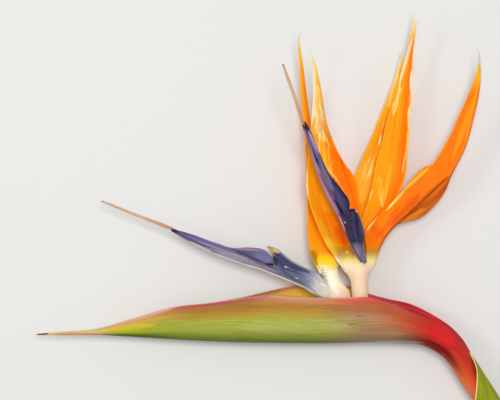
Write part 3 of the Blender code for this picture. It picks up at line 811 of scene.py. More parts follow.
NEAR_STROKES = {
    # Painted highlights: the pale left margin and the glossy streaks
    "grey margin highlight": ((313.0, 66), (311.4, 126), 1.7, HIGHLIGHT_GREY_CREAM, 1.0),
    "upper pale sheen": ((316, 84), (320, 134), 2.3, SHEEN_PALE_TAN, 0.9, 1.4),
    "left sheen streaks": ((314.6, 104), (320, 152), 1.7, SHEEN_CREAM, 0.85, 1.1),
    "bright sheen streaks": ((319, 104), (324, 146), 2.0, SHEEN_CREAM, 0.9, 1.0),
    "white sheen streaks": ((320, 112), (322.6, 136), 0.9, CREAM_WHITE, 0.7, 1.5),
    "brown fibres": ((317, 98), (322, 140), 0.5, OLD_GOLD, 0.6, 1.5),
    "golden middle": ((321, 138), (333, 184), 2.8, SUN_ORANGE, 0.85, 0.4),
    # Painted highlight flecks
    "speckled highlight line": ((325, 132), (333.6, 178), 1.2, LIGHT_GOLD, 0.85, 1.3),
    "inner speckles": ((321.6, 140), (330, 178), 1.6, LIGHT_GOLD, 0.9, 1.5),
    # Painted shade in the two creases
    "right crease shade": ((329, 120), (345.6, 172), 0.35, EMBER, 0.6),
    "lower right crease shade": ((340, 158), (354, 196), 0.35, EMBER, 0.65),
    "margin above the tongue": ((325.6, 164), (341, 184), 0.45, PALE_GOLD, 0.75),
    "margin beside the lobe": ((340, 184), (351, 204), 0.4, LIGHT_GOLD, 0.7),
    # Painted highlight along the lower left margin
    "foot margin highlight": ((306.6, 168), (307.4, 212), 0.6, HIGHLIGHT_LEMON_CREAM, 0.95),
    "left glow": ((310, 160), (323, 224), 4.0, AMBER, 0.85),
    "golden lines": ((311, 168), (322, 214), 1.0, GOLD, 0.5, 1.4),
    "pale beside the fold": ((319, 218), (331, 246), 1.5, GOLD, 0.85),
    "lower yellow": ((325, 236), (337, 258), 2.4, WARM_LEMON, 0.8),
    "claw cream": ((333, 256), (343, 270), 2.0, CREAM_WHITE, 0.9),
    "deep patch": ((326, 210), (345, 246), 4.8, DEEP_ORANGE, 0.7),
    "ember patch": ((335, 226), (348, 247), 2.6, EMBER, 0.5),
    "bronze shade": ((340, 248), (354, 250), 1.6, BRONZE, 0.3),
}
make_blade(
    "front_sepal_near", FRONT_SEPAL_NEAR,
    sepal_look(
        "near_sepal_skin", "front",
        [(0.0, GOLD), (0.04, SUN_ORANGE), (0.3, SUN_ORANGE), (0.44, AMBER), (0.5, DEEP_ORANGE),
         (0.53, EMBER), (0.58, DEEP_ORANGE), (0.9, DEEP_ORANGE), (1.0, AMBER)],
        NEAR_ENDS, 1.0, 5.0, NEAR_STROKES,
    ),
    relief=near_relief,
)

# %% Front floret: the far sepal
FRONT_SEPAL_FAR = [
    ((358, 270, -3.2), (363.6, 270, -3.0), (368.1, 270, -1.6)),
    ((356.5, 250, -4.3), (362.5, 252, -5), (369, 250, -2.6)),
    ((359, 230, -3.8), (367.5, 231, -5.4), (376.5, 231, -2.8)),
    ((371, 190, -2.6), (382, 200, -5), (394.6, 202, -2)),
    ((376, 165, -2), (390, 172, -4.6), (404.6, 178, -1.3)),
    ((383, 139, -1.6), (395.5, 139, -4.6), (407.8, 142, -1)),
    ((395, 93, -0.8), (402.5, 95, -3.0), (410.8, 98, -0.7)),
    ((404.9, 59, 0), (408.4, 60, -1.2), (412.3, 62, 0.1)),
    ((412.8, 26, 1.4), (414.5, 25, 1.1), (416.0, 26.5, 1.5)),
    ((416.2, 13, 2), (416.5, 12, 1.9), (416.8, 13, 2)),
]


def far_relief(s, t):
    """Three creases that draw together towards the base."""
    creases = furrow(s, t, (0.42, 0.3), 0.45, 0.03, 0.25, 0.85) + furrow(s, t, (0.62, 0.7), 0.4, 0.03, 0.2, 0.75)
    return creases + 0.3 * wander(s, t, 12) * np.abs(2 * t - 1) ** 2 + 0.05 * np.sin(2 * np.pi * 14 * t)


FAR_STROKES = {
    # The next five strokes are painted highlights: the left margin, the glossy streaks and the right margin
    "cream margin highlight": ((411.8, 38), (398.6, 86), 1.0, CREAM, 1.0),
    "upper sheen streaks": ((401.6, 78), (393, 116), 1.6, HIGHLIGHT_LEMON_CREAM, 0.9, 1.4),
    "right glint": ((411.4, 70), (410.8, 94), 0.9, CREAM_WHITE, 1.0),
    "right margin": ((410.2, 92), (408.4, 132), 1.2, HIGHLIGHT_LEMON_CREAM, 0.95, 1.0),
    "lower right margin highlight": ((408, 128), (405.6, 160), 0.6, LIGHT_GOLD, 0.9, 0.6),
    "lower right line": ((405.4, 152), (402, 174), 0.35, PALE_GOLD, 0.8),
    "soft glow": ((379, 176), (383, 208), 2.4, LIGHT_GOLD, 0.8, 0.4),
    "glow line": ((379, 188), (382.8, 207), 0.5, HIGHLIGHT_LEMON_CREAM, 0.7, 0.6),
    "right glow line": ((391.6, 164), (384, 206), 0.9, LIGHT_GOLD, 0.7, 0.5),
    "short glint": ((372.6, 189), (369.4, 201), 0.7, HIGHLIGHT_LEMON_CREAM, 0.95),
    # A painted glint
    "dot": ((364.4, 208.6), (365.2, 209.8), 0.8, HIGHLIGHT_LEMON_CREAM, 0.95),
    "yellow foot": ((380, 180), (365, 226), 3.4, SUN_ORANGE, 0.8),
    "right line": ((405, 110), (401, 180), 0.35, EMBER, 0.35),
    "middle line": ((397.6, 104), (388, 186), 0.35, DEEP_ORANGE, 0.6),
}
make_blade(
    "front_sepal_far", FRONT_SEPAL_FAR,
    sepal_look(
        "far_sepal_skin", "front",
        [(0.0, GOLD), (0.06, SUN_ORANGE), (0.35, SUN_ORANGE), (0.6, AMBER), (0.85, ORANGE), (0.95, ORANGE),
         (1.0, GOLD)],
        FAR_ENDS, 2.0, -2.5, FAR_STROKES, deep=0.25,
    ),
    fold=0.2, relief=far_relief,
)

# %% Front floret: the back sepal
FRONT_SEPAL_BACK = [
    ((365.5, 273, 1.6), (367.8, 274, 0.8), (368.2, 273, -0.8)),
    ((366.0, 262, 2.3), (372.6, 263.5, 1.2), (374.0, 263.5, -1.0)),
    ((366.4, 248, 3.0), (376.6, 252, 2.4), (378.4, 252, -1.4)),
    ((365.6, 233, 2.9), (381, 240, 3.8), (384.4, 240.5, -1.8)),
    ((375.6, 218.5, 2), (394, 223.5, 4.3), (396, 225.5, -2)),
    ((399, 195, 2.2), (418, 205, 4.2), (423.5, 216, -2.2)),
    ((418.2, 172.4, 2.4), (437, 191, 4), (441.5, 197, -1.6)),
    ((425.0, 166.6, 2.5), (443.8, 183.4, 3.8), (446.6, 188, -1.2)),
    ((431.8, 164.8, 2.6), (450.4, 173.4, 3.6), (450.4, 176, -0.8)),
    ((436.2, 159.2, 2.5), (455.4, 164.4, 3.6), (454.6, 167, -0.6)),
    ((446.8, 141.5, 2.3), (463.6, 148.6, 3.6), (463.0, 150.5, -0.2)),
    ((458.2, 117.5, 2.7), (472.6, 118, 4), (472, 120, 0.8)),
    ((471, 88, 3.8), (479.0, 87, 4.8), (478.6, 88.5, 2.8)),
    ((478.0, 64, 5), (479.7, 63, 5.2), (480.2, 64, 4.8)),
    ((478.4, 54, 5.6), (479.0, 53.5, 5.7), (479.5, 54.2, 5.5)),
    ((476.9, 48.1, 6), (477.2, 47.9, 6), (477.6, 48.2, 6)),
]


def back_relief(s, t):
    """A crease along the bright face, and a rolled upper margin near the base."""
    creases = furrow(s, t, (0.34, 0.3), 0.35, 0.03, 0.1, 0.6) + furrow(s, t, (0.42, 0.4), 0.2, 0.03, 0.2, 0.8)
    return creases + 0.2 * wander(s, t, 13) * np.abs(2 * t - 1) + 0.04 * np.sin(2 * np.pi * 14 * t)


BACK_STROKES = {
    # Painted highlights along the upper margin
    "lower lit edge line": ((365.4, 232), (378.3, 215), 0.5, HIGHLIGHT_LEMON_CREAM, 0.95),
    "middle glow": ((386, 211), (405, 190), 1.0, LIGHT_GOLD, 0.9),
    "middle lit edge line": ((387.6, 209.4), (403, 190.4), 0.5, HIGHLIGHT_LEMON_CREAM, 0.9, 0.6),
    "upper glow": ((402, 192), (430, 166.4), 0.9, LIGHT_GOLD, 0.8),
    "crotch light": ((374, 231), (394, 208), 1.4, SUN_ORANGE, 0.15),
    "crotch yellow": ((374, 245), (390, 224), 1.4, AMBER, 0.2),
    # A painted glint
    "dot": ((364.4, 208.6), (365.2, 209.8), 0.8, HIGHLIGHT_LEMON_CREAM, 0.95),
    "foot shade": ((371, 226), (384, 238), 2.6, EMBER, 0.4),
    "fold shade": ((390, 226), (420, 194), 2.1, EMBER, 0.7),
    "second fold shade": ((380, 236), (400, 206), 1.3, EMBER, 0.35),
    "crease shade": ((402, 220), (449, 176), 2.0, CREASE_SHADE_RUST, 0.6),
    # Painted shadow and shade in the creases
    "long crease shadow": ((401, 221), (450, 174.4), 0.5, CREASE_SHADE_RUST, 0.85),
    "inner crease shade": ((386, 218), (424, 188), 0.4, EMBER, 0.6),
    "second inner crease shade": ((392, 220), (418, 199), 0.35, EMBER, 0.5),
    "flap light": ((402, 223), (428, 208), 2.2, AMBER, 0.8, 0.5),
    "flap rim": ((404, 226.4), (446, 194), 0.5, TANGERINE, 0.7),
    # Painted highlights along the right third and its margin
    "right band": ((452, 160), (476, 92), 1.5, AMBER, 0.9),
    "right margin": ((464, 146), (479.4, 76), 0.3, GOLD, 0.8),
    "lower edge": ((378, 247), (398, 225), 0.7, DEEP_ORANGE, 0.9),
}
make_blade(
    "front_sepal_back", FRONT_SEPAL_BACK,
    sepal_look(
        "back_sepal_skin", "front",
        [(0.0, SUN_ORANGE), (0.03, ORANGE), (0.24, DEEP_ORANGE), (0.34, ORANGE), (0.42, DEEP_ORANGE),
         (0.49, ORANGE), (0.52, DEEP_ORANGE), (0.6, FLAP_ORANGE), (0.85, FLAP_ORANGE), (1.0, PINK_BROWN)],
        BACK_ENDS, 5.0, 3.0, BACK_STROKES, deep=0.35,
    ),
    fold=0.75, relief=back_relief,
)

# %% Rear floret: its three sepals
REAR_SEPAL_NEAR = [
    ((320.4, 274, 2.4), (320, 274.5, -0.4), (322.4, 274, -2.2)),
    ((316.8, 266.5, 2.6), (322, 266.5, -1.2), (331, 266.5, -1.9)),
    ((312.6, 259, 2.4), (323.5, 259, -1.4), (336.3, 260, -1)),
    ((309.3, 246, 2.1), (322, 246, -1.8), (337.4, 246, -1.6)),
    ((307.6, 213, 1.5), (317, 213, -2.5), (331, 213, -3)),
    ((307.2, 185, 1), (314.5, 185, -2.6), (325, 185, -3.2)),
    ((305.4, 145, 1), (310.5, 145, -2.2), (315, 145, -2.4)),
    ((302.2, 106.5, 1.6), (305.8, 106.5, -0.4), (308, 106.5, -0.6)),
    ((300, 73, 2.8), (302.2, 73, 1.8), (303.8, 73, 1.6)),
    ((298.4, 48, 4.0), (299.3, 47, 3.9), (300.3, 48, 3.8)),
    ((297.9, 39.4, 4.3), (298.5, 39, 4.3), (299.1, 39.4, 4.2)),
    ((299.2, 34.4, 4.8), (299.6, 34.7, 4.9), (300, 35, 4.8)),
    ((301.2, 31.8, 5.2), (301.4, 32.2, 5.2), (301.6, 32.6, 5.2)),
]
REAR_SEPAL_FAR = [
    ((325.4, 272, -3.2), (328.5, 271, -3.4), (331.7, 270, -3.1)),
    ((323.4, 264, -4.7), (327.2, 264, -5.6), (331, 264, -4.7)),
    ((318.5, 245, -5.4), (325, 245, -8.4), (330.5, 245, -6.5)),
    ((315.5, 220, -6), (322.5, 220, -9.2), (329.5, 220, -6.8)),
    ((312.5, 190, -6.2), (320, 190, -9.3), (327.5, 190, -6.9)),
    ((311.5, 150, -6), (317.5, 150, -9.1), (323.5, 150, -6.9)),
    ((313.5, 110, -5.6), (316.5, 110, -8.4), (319.5, 110, -6.6)),
    ((315.9, 88.5, -5.6), (316.4, 87.5, -5.9), (316.9, 88.5, -5.7)),
]
REAR_SEPAL_BACK = [
    ((333.1, 270, -2.6), (335.9, 269.2, -1.6), (337, 268.8, 0.3)),
    ((335, 258, -4.4), (338.8, 258, -4.2), (341.5, 258, -2.4)),
    ((338, 240, -5.7), (345, 240, -8), (353.5, 240, -5.7)),
    ((346.5, 200, -6), (359, 200, -9.3), (372, 200, -7.2)),
    ((355, 176, -6), (367, 176, -9.3), (379, 176, -7.2)),
    ((374.8, 130, -6), (382.6, 132, -8.4), (390, 134, -6.9)),
    ((388.8, 95, -5.2), (393.8, 95, -6.8), (398, 95, -6.2)),
    ((397.9, 68, -4.6), (400, 68, -5.2), (402, 68, -5.1)),
    ((402.7, 50.5, -3.8), (402.9, 50, -3.9), (403.1, 50.7, -3.9)),
]

# %% Relief and paint of the rear sepals
def rear_relief(s, t):
    """One soft crease beside the keel, ribs, and wavy margins."""
    creases = furrow(s, t, (0.4, 0.5), 0.3, 0.04, 0.1, 0.9)
    return creases + 0.25 * wander(s, t, 14) * np.abs(2 * t - 1) ** 2 + 0.04 * np.sin(2 * np.pi * 12 * t)


REAR_BODY = [(0.0, GOLD), (0.06, SUN_ORANGE), (0.42, SUN_ORANGE), (0.55, AMBER), (0.85, AMBER), (1.0, SUN_ORANGE)]
BRIGHT_BODY = [(0.0, LIGHT_GOLD), (0.1, GOLD), (0.45, GOLD), (0.55, SUN_ORANGE), (0.9, SUN_ORANGE), (1.0, GOLD)]
# Painted glints on the ridges of the wrinkles at the rear floret's foot, and painted shade in their hollows
WRINKLE_GLINTS_AND_SHADE = {
    "first wrinkle shade": ((319.4, 266.2), (324.8, 268.8), 0.3, WRINKLE_SHADE_OLIVE, 0.6),
    "second wrinkle shade": ((321, 270.8), (326.4, 268.8), 0.3, WRINKLE_SHADE_OLIVE, 0.6),
    "third wrinkle shade": ((321.4, 273.8), (327.6, 272.2), 0.3, WRINKLE_SHADE_OLIVE, 0.5),
    "fourth wrinkle shade": ((322.4, 277.6), (328.6, 274.8), 0.3, WRINKLE_SHADE_OLIVE, 0.5),
    "first wrinkle glint": ((319, 264.4), (322.4, 268.2), 0.34, WHITE, 0.9),
    "second wrinkle glint": ((322, 265), (327, 267.2), 0.32, WHITE, 0.9),
    "third wrinkle glint": ((323, 269.8), (327.6, 266.8), 0.32, WHITE, 0.9),
    "fourth wrinkle glint": ((321.6, 271.8), (327, 270.4), 0.3, WHITE, 0.9),
    "fifth wrinkle glint": ((323, 275.6), (328.8, 273.2), 0.3, WHITE, 0.9),
    "sixth wrinkle glint": ((323.6, 279.4), (329.4, 276), 0.3, WHITE, 0.9),
}
REAR_SEPALS = {
    "rear_sepal_near": (REAR_SEPAL_NEAR, REAR_BODY, REAR_NEAR_ENDS, 0.5, {
        "right deep strip": ((303, 80), (311, 140), 0.8, DEEP_ORANGE, 0.5),
        # Painted shade at the foot
        "foot shade": ((308.6, 250), (319, 266), 2.6, BRONZE, 0.7),
        "foot ember": ((312, 250), (321, 259), 2.2, SHADE_BROWN, 0.35),
        "yellow foot": ((326, 262), (338, 252), 2.8, LEMON, 1.0),
        # Painted shade along the creases
        "upper crease shade": ((307.8, 199), (317.4, 216.6), 0.42, SHADE_BROWN, 0.9),
        "middle crease shade": ((315.6, 213.4), (323, 235), 0.42, SHADE_BROWN, 0.9),
        "lower crease shade": ((321.6, 229.6), (329.6, 250), 0.42, SHADE_BROWN, 0.7),
        # Painted glints and shade on the wrinkles
        **WRINKLE_GLINTS_AND_SHADE,
    }),
    "rear_sepal_far": (REAR_SEPAL_FAR, REAR_BODY, REAR_NEAR_ENDS, -7.0, {}),
    "rear_sepal_back": (REAR_SEPAL_BACK, BRIGHT_BODY, REAR_BACK_ENDS, -7.0, {
        # Painted highlights: the pale left margin, glows, glossy streaks, flecks and speckles
        "left margin": ((399.6, 60), (389.4, 94), 0.8, CREAM_WHITE, 0.95),
        "tip glow": ((397, 74), (388, 108), 2.6, LIGHT_GOLD, 0.8),
        "tip sheen streaks": ((398, 74), (389, 108), 1.3, HIGHLIGHT_LEMON_CREAM, 0.9, 1.5),
        "upper glint fleck": ((384.8, 118.6), (382.6, 128.6), 1.1, HIGHLIGHT_LEMON_CREAM, 1.0, 1.2),
        "left glint fleck": ((375.4, 131), (374.2, 135.6), 0.8, LIGHT_GOLD, 0.9, 0.9),
        "lower glint fleck": ((381.4, 134), (379.8, 146.6), 0.8, HIGHLIGHT_LEMON_CREAM, 1.0, 1.2),
        "left glow": ((384, 108), (360, 172), 1.5, GOLD, 0.8, 0.5),
        "foot glow": ((370, 158), (357, 206), 5.0, LIGHT_GOLD, 0.75),
        "glint speckles": ((376, 146), (362, 184), 1.9, HIGHLIGHT_LEMON_CREAM, 0.7, 1.9),
        "dark fibres": ((386, 110), (362, 190), 0.45, OLD_GOLD, 0.6, 0.9),
        "small speckles": ((373.4, 166), (366, 180), 1.2, HIGHLIGHT_LEMON_CREAM, 0.8, 1.8),
        "foot light": ((368, 176), (357, 206), 2.4, LIGHT_GOLD, 0.5, 0.9),
        # Painted shade where the two sepals meet
        "boundary shade line": ((387.6, 106), (375.4, 178), 0.35, SHADE_BROWN, 0.6),
    }),
}
for order, (name, (stations, body, ends, height, strokes)) in enumerate(REAR_SEPALS.items()):
    look = sepal_look(name + "_skin", "rear", body, ends, 7.0 + order, height, strokes, deep=0.25)
    make_blade(name, stations, look, relief=rear_relief)


# %% [markdown]
# ## Floret tubes
# The three sepals of a floret grow together at the base into a white waxy tube, which comes up out of
# the slit. It is a stack of rings: nearly round where it leaves the slit, and wide and flat where it
# opens into the sepals. The sepals' bases sink into it, so no joint shows.

# %% Tube paint
def claw_look(name, floret, height, strokes):
    """Cream with faint long fibres and blushes, and at the top the sepals' own colours where it opens."""
    made, tree, shader = new_look(name, roughness=0.45, coat=0.04, coat_roughness=0.12, soft=0.15, gloss=0.15)
    lines = use(tree, fibres, Across=26.0, Along=2.5, Seed=4.0)
    patches = use(tree, mottle, Size=5.0, Seed=4.0)
    colour = fade_to_base(tree, AMBER, floret, lines["Streak"])
    colour = tinted(tree, colour, BLUSH, lines["Streak"], 0.16, "MULTIPLY")
    colour = brush(tree, colour, strokes, height, lines["Streak"])
    relief = summed(tree, lines["Streak"], 0.6, patches["Patch"], 0.5)
    dress(tree, shader, colour, relief, 0.06)
    return made


# %% The two tubes
# Each station: a guide point, the half width and the half depth in millimetres
FRONT_TUBE = [
    ((359.6, 318, 0.5), 2.2, 2.2),
    ((359.8, 305, 0.8), 3.1, 3.1),
    ((360.0, 295, 1.0), 3.6, 3.6),
    ((359.6, 286, 1.0), 3.75, 3.8),
    ((359.2, 279, 1.0), 4.1, 4.0),
    ((358.2, 272, 0.8), 5.3, 4.1),
    ((357.2, 266.5, 0.2), 6.9, 3.9),
    ((356.9, 261, -0.7), 8.0, 3.4),
    ((357.0, 256.5, -1.9), 7.8, 2.4),
    ((357.6, 252.5, -2.9), 6.2, 1.3),
    ((358.2, 249.5, -3.3), 3.0, 0.5),
]
REAR_TUBE = [
    ((341.0, 318, 0.5), 2.6, 2.2),
    ((340.6, 307, 0.5), 4.2, 3.0),
    ((338.8, 297.5, 0.5), 5.4, 3.6),
    ((336.0, 290.5, 0.5), 4.75, 3.7),
    ((333.2, 284, 0.5), 4.0, 3.7),
    ((330.9, 277, 0.4), 3.6, 3.6),
    ((329.0, 270, 0.2), 4.0, 3.5),
    ((327.1, 264, -0.2), 4.85, 3.2),
    ((325.4, 258, -0.9), 5.3, 2.4),
    ((324.6, 253, -1.6), 4.4, 1.2),
    ((324.4, 250, -1.9), 2.0, 0.4),
]
FRONT_CLAW_STROKES = {
    "right blush": ((366, 264), (366.5, 297), 1.9, BLUSH_ROSE, 0.5),
    "upper blush": ((361, 264), (368, 266), 1.2, BLUSH_ROSE, 0.5),
    # A painted glint
    "glint swirl": ((345, 252.6), (349.4, 252.2), 0.5, HIGHLIGHT_LEMON_CREAM, 0.8),
    "left shade": ((342, 268), (352.5, 296), 0.7, STONE_CREAM, 0.6),
}
REAR_CLAW_STROKES = {
    "white beside the tongue": ((322, 288), (334, 300), 3.2, COOL_WHITE, 0.9),
    "white middle": ((328, 274), (338, 296), 2.2, CREAM_WHITE, 0.7),
    # Painted glints and shade on the wrinkles
    **WRINKLE_GLINTS_AND_SHADE,
    "right blush": ((345, 290), (350, 297), 1.0, BLUSH_ROSE, 0.4),
}


def front_swell(s, a):
    """Five long soft ribs that grow towards the opening, on an uneven surface."""
    return 0.05 * np.sin(2 * np.pi * 5 * a + 0.6) * eased(s, 0.3, 0.8) + 0.08 * wander(s, a, 21, pace_t=5)


def rear_swell(s, a):
    """A patch of cross wrinkles below the near sepal, on an uneven surface."""
    wrinkled = eased(s, 0.58, 0.64) * (1 - eased(s, 0.76, 0.82)) * np.exp(-(((a - 0.36) / 0.12) ** 2))
    creases = np.sin(2 * np.pi * 26 * s + 3 * np.sin(2 * np.pi * 2 * a))
    return 0.22 * creases * wrinkled + 0.08 * wander(s, a, 22, pace_t=5)


make_tube("front_tube", FRONT_TUBE, claw_look("front_claw_skin", "front", 3.0, FRONT_CLAW_STROKES),
          rows=110, columns=64, grow=front_swell)
make_tube("rear_tube", REAR_TUBE, claw_look("rear_claw_skin", "rear", 3.0, REAR_CLAW_STROKES),
          rows=150, columns=72, grow=rear_swell)


# %% [markdown]
# ## Tongues and hoods
# Two violet petals of each floret are joined into an arrow-shaped tongue, folded along a groove, with
# two lobes near its base. The third petal is a short hood over the tongue's foot. Their colour goes from
# a pale or grey-blue foot to indigo and lavender, with fine pale veins. They are blades, as the sepals
# are, and their ramps across follow the groove.

# %% Petal paint
def petal_look(name, body, ends, seed, height, strokes, veins=0.3):
    """Paint a violet petal: a ramp across it, a ramp along it over that, fine veins and strokes of the brush."""
    made, tree, shader = new_look(name, roughness=0.5, coat=0.02, coat_roughness=0.18, soft=0.03, gloss=0.12)
    u, v = skin_axes(tree)
    thin = use(tree, fibres, Across=46.0, Along=5.0, Seed=seed)
    wide = use(tree, fibres, Across=12.0, Along=3.0, Seed=seed + 2)
    patches = use(tree, mottle, Size=3.0, Seed=seed)
    u_moved = reckon(tree, "MULTIPLY_ADD", reckon(tree, "SUBTRACT", wide["Streak"], 0.5), 0.04, u)
    v_moved = reckon(tree, "MULTIPLY_ADD", wide["Streak"], 0.04, v)
    colour = ramp(tree, u_moved, body).outputs["Color"]
    colour = tinted(tree, colour, DEEP_INDIGO, wide["Streak"], 0.3)
    colour = tinted(tree, colour, LAVENDER, thin["Line"], veins)
    over = ramp(tree, v_moved, ends)
    colour = mixed(tree, over.outputs["Alpha"], colour, over.outputs["Color"])
    colour = tinted(tree, colour, SLATE_BLUE, patches["Patch"], 0.12)
    colour = brush(tree, colour, strokes, height, wide["Streak"])
    relief = summed(tree, thin["Streak"], 0.7, patches["Grain"], 0.3)
    dress(tree, shader, colour, relief, 0.09)
    return made


# %% Front tongue and hood
FRONT_TONGUE = [
    ((360.5, 262, 4.6), (361.5, 262, 4), (362.8, 262, 4.6)),
    ((352.2, 248, 6), (355.5, 248, 4.4), (358.5, 248, 6)),
    ((344.6, 231, 7), (348.4, 232, 5.4), (351.8, 232, 7)),
    ((336.5, 215, 8.8), (342.5, 214, 6.9), (348.6, 214.5, 8.8)),
    ((330, 203, 10.8), (336.5, 204, 8.6), (349.6, 203, 10.8)),
    ((323.8, 190, 13), (330, 190, 10.9), (342, 190, 13.4)),
    ((317.6, 175, 15.6), (322.6, 175, 13.6), (330, 175, 16)),
    ((309.8, 150, 20), (313.2, 150, 18.6), (318.5, 151, 20.2)),
    ((303.8, 130, 22.7), (306.6, 130, 22.1), (310.2, 130.2, 22.8)),
    ((301.5, 122.6, 23.8), (303.8, 121.6, 23.7), (306.4, 122.8, 23.8)),
]
FRONT_HOOD = [
    ((363.2, 262.4, 5.2), (365, 262.8, 5.6), (366.8, 261.4, 5.2)),
    ((359.8, 257.6, 6.6), (363, 257.4, 7.5), (365.8, 257, 6.6)),
    ((355.4, 250.5, 8.1), (359.6, 250, 9.5), (364, 249.5, 8.3)),
    ((351, 242.6, 9.2), (357, 242.8, 11.2), (363.6, 243, 9.3)),
    ((346.8, 233, 9.9), (355, 233, 12.4), (364.2, 234.5, 9.6)),
    ((346.2, 224, 10.4), (354.4, 224, 12.9), (362.4, 225, 10.3)),
    ((346.6, 215, 10.9), (353, 215, 12.9), (358.8, 215.5, 10.9)),
    ((347.2, 209.8, 11.3), (352, 208.6, 12.4), (356.2, 209.4, 11.3)),
]

# %% Relief of the tongues and hoods
def tongue_relief(s, t):
    """A round rib beside the groove, and a soft hollow in the wide lobe."""
    rib = 0.5 * np.exp(-(((t - 0.2) / 0.1) ** 2)) * eased(s, 0.2, 0.4)
    return rib + furrow(s, t, (0.5, 0.5), 0.5, 0.04) + 0.15 * wander(s, t, 31, pace_t=3)


def hood_relief(s, t):
    """A furrow on each side of the fold, and a ragged top edge."""
    ragged = 0.5 * np.sin(2 * np.pi * 3 * t) * eased(s, 0.85, 1.0)
    return furrow(s, t, (0.35, 0.3), 0.5, 0.06) + furrow(s, t, (0.68, 0.75), 0.4, 0.06) + ragged


def rear_hood_relief(s, t):
    """A soft hollow along the middle, and a torn end."""
    torn = 0.5 * np.sin(2 * np.pi * 2.5 * t) * eased(s, 0.88, 1.0)
    return furrow(s, t, (0.5, 0.42), 0.45, 0.16, 0.25, 0.9) + 0.1 * wander(s, t, 35, pace_t=3) + torn


# %% Front tongue, painted
FRONT_TONGUE_STROKES = {
    "lobe blue": ((332, 188), (346, 204), 2.4, BLUE_VIOLET, 0.5, 0.8),
    "light sheen": ((319, 160), (334, 192), 1.3, PALE_LILAC, 0.7, 0.5),
    "right band": ((314, 146), (324, 170), 1.1, SLATE_VIOLET, 0.85, 0.5),
    "pink band": ((307.6, 131), (318.6, 154), 0.8, PINK_MAUVE, 0.95),
    "pale middle": ((307.4, 132), (317, 158), 0.9, LAVENDER, 0.7, 0.8),
    "mauve side": ((313, 158), (340, 214), 1.5, DUSK_MAUVE, 0.95),
    "mauve lines": ((312, 156), (338, 210), 0.5, PINK_MAUVE, 0.6, 1.2),
    "pink edge": ((318, 176), (344, 226), 0.55, ROSE_MAUVE, 0.9),
    "white edge": ((340, 216), (346.4, 232), 0.35, CREAM_WHITE, 0.7, 0.8),
    "left dark edge": ((304.6, 130), (311, 152), 0.45, INDIGO, 0.7),
    "middle dark line": ((311, 148), (318.4, 168), 0.3, NIGHT, 0.7),
    "groove": ((318.6, 172), (334, 200), 0.5, INDIGO, 0.85),
    "lower groove": ((333, 198), (346, 216), 0.7, NIGHT, 0.8),
    "lobe rim": ((338, 185.4), (349.4, 202), 0.7, NIGHT, 0.85),
    "knob": ((302, 122), (307, 125.4), 0.7, NIGHT, 0.9),
    "red speck": ((344.3, 217.4), (345, 220), 0.6, SCARLET, 0.9),
    # A painted glint
    "glint speck": ((345.6, 221.4), (346.4, 224), 0.5, WHITE, 0.95),
}
make_blade(
    "front_tongue", FRONT_TONGUE,
    petal_look(
        "front_tongue_skin",
        [(0.0, DUSK_MAUVE), (0.14, DUSK_MAUVE), (0.3, VIOLET), (0.45, INDIGO), (0.5, DEEP_INDIGO), (0.56, INDIGO),
         (0.72, VIOLET), (0.9, INDIGO), (1.0, DEEP_INDIGO)],
        [(0.0, SLATE_BLUE, 0.7), (0.14, LAVENDER, 0.2), (0.22, MAUVE, 0.15), (0.34, DEEP_INDIGO, 0.45),
         (0.5, INDIGO, 0.15), (0.62, VIOLET, 0.0), (0.945, VIOLET, 0.0), (0.965, NIGHT, 1.0), (1.0, NIGHT, 1.0)],
        31.0, 14.0, FRONT_TONGUE_STROKES,
    ),
    rows=130, columns=41, fold=0.55, middle=0.7, margin=0.28, relief=tongue_relief,
)

# %% Front hood, painted
FRONT_HOOD_STROKES = {
    # A painted glint
    "glint speck": ((355.8, 209.8), (357.6, 212.4), 0.6, BLUSH_ROSE, 1.0),
    "top knob": ((347.6, 211), (354, 210), 0.8, NIGHT, 0.7),
    "left sheen": ((351, 217), (352.5, 236), 0.6, BLUE_VIOLET, 0.5, 0.8),
    "right rim": ((359, 214), (364, 236), 0.6, VIOLET, 0.9),
    "dark fold": ((355, 211), (358, 238), 0.8, NIGHT, 0.6),
    "left foot line": ((355, 242), (360, 258), 0.4, LAVENDER, 0.7),
    "right foot line": ((361, 241), (363, 256), 0.5, INDIGO, 0.6),
    "foot shade": ((357.6, 240), (362, 258), 0.4, SLATE_BLUE, 0.6),
}
make_blade(
    "front_hood_petal", FRONT_HOOD,
    petal_look(
        "front_hood_skin",
        [(0.0, INDIGO), (0.3, DEEP_INDIGO), (0.5, INDIGO), (0.7, DEEP_INDIGO), (0.9, INDIGO), (1.0, VIOLET)],
        [(0.0, SLATE_BLUE, 1.0), (0.12, FOOT_VIOLET, 0.95), (0.34, FOOT_VIOLET, 0.95), (0.42, SLATE_BLUE, 0.6),
         (0.46, INDIGO, 0.3), (0.9, DEEP_INDIGO, 0.2), (1.0, INDIGO, 0.5)],
        34.0, 11.0, FRONT_HOOD_STROKES, veins=0.15,
    ),
    rows=100, columns=41, fold=0.3, middle=0.7, margin=0.3, relief=hood_relief,
)

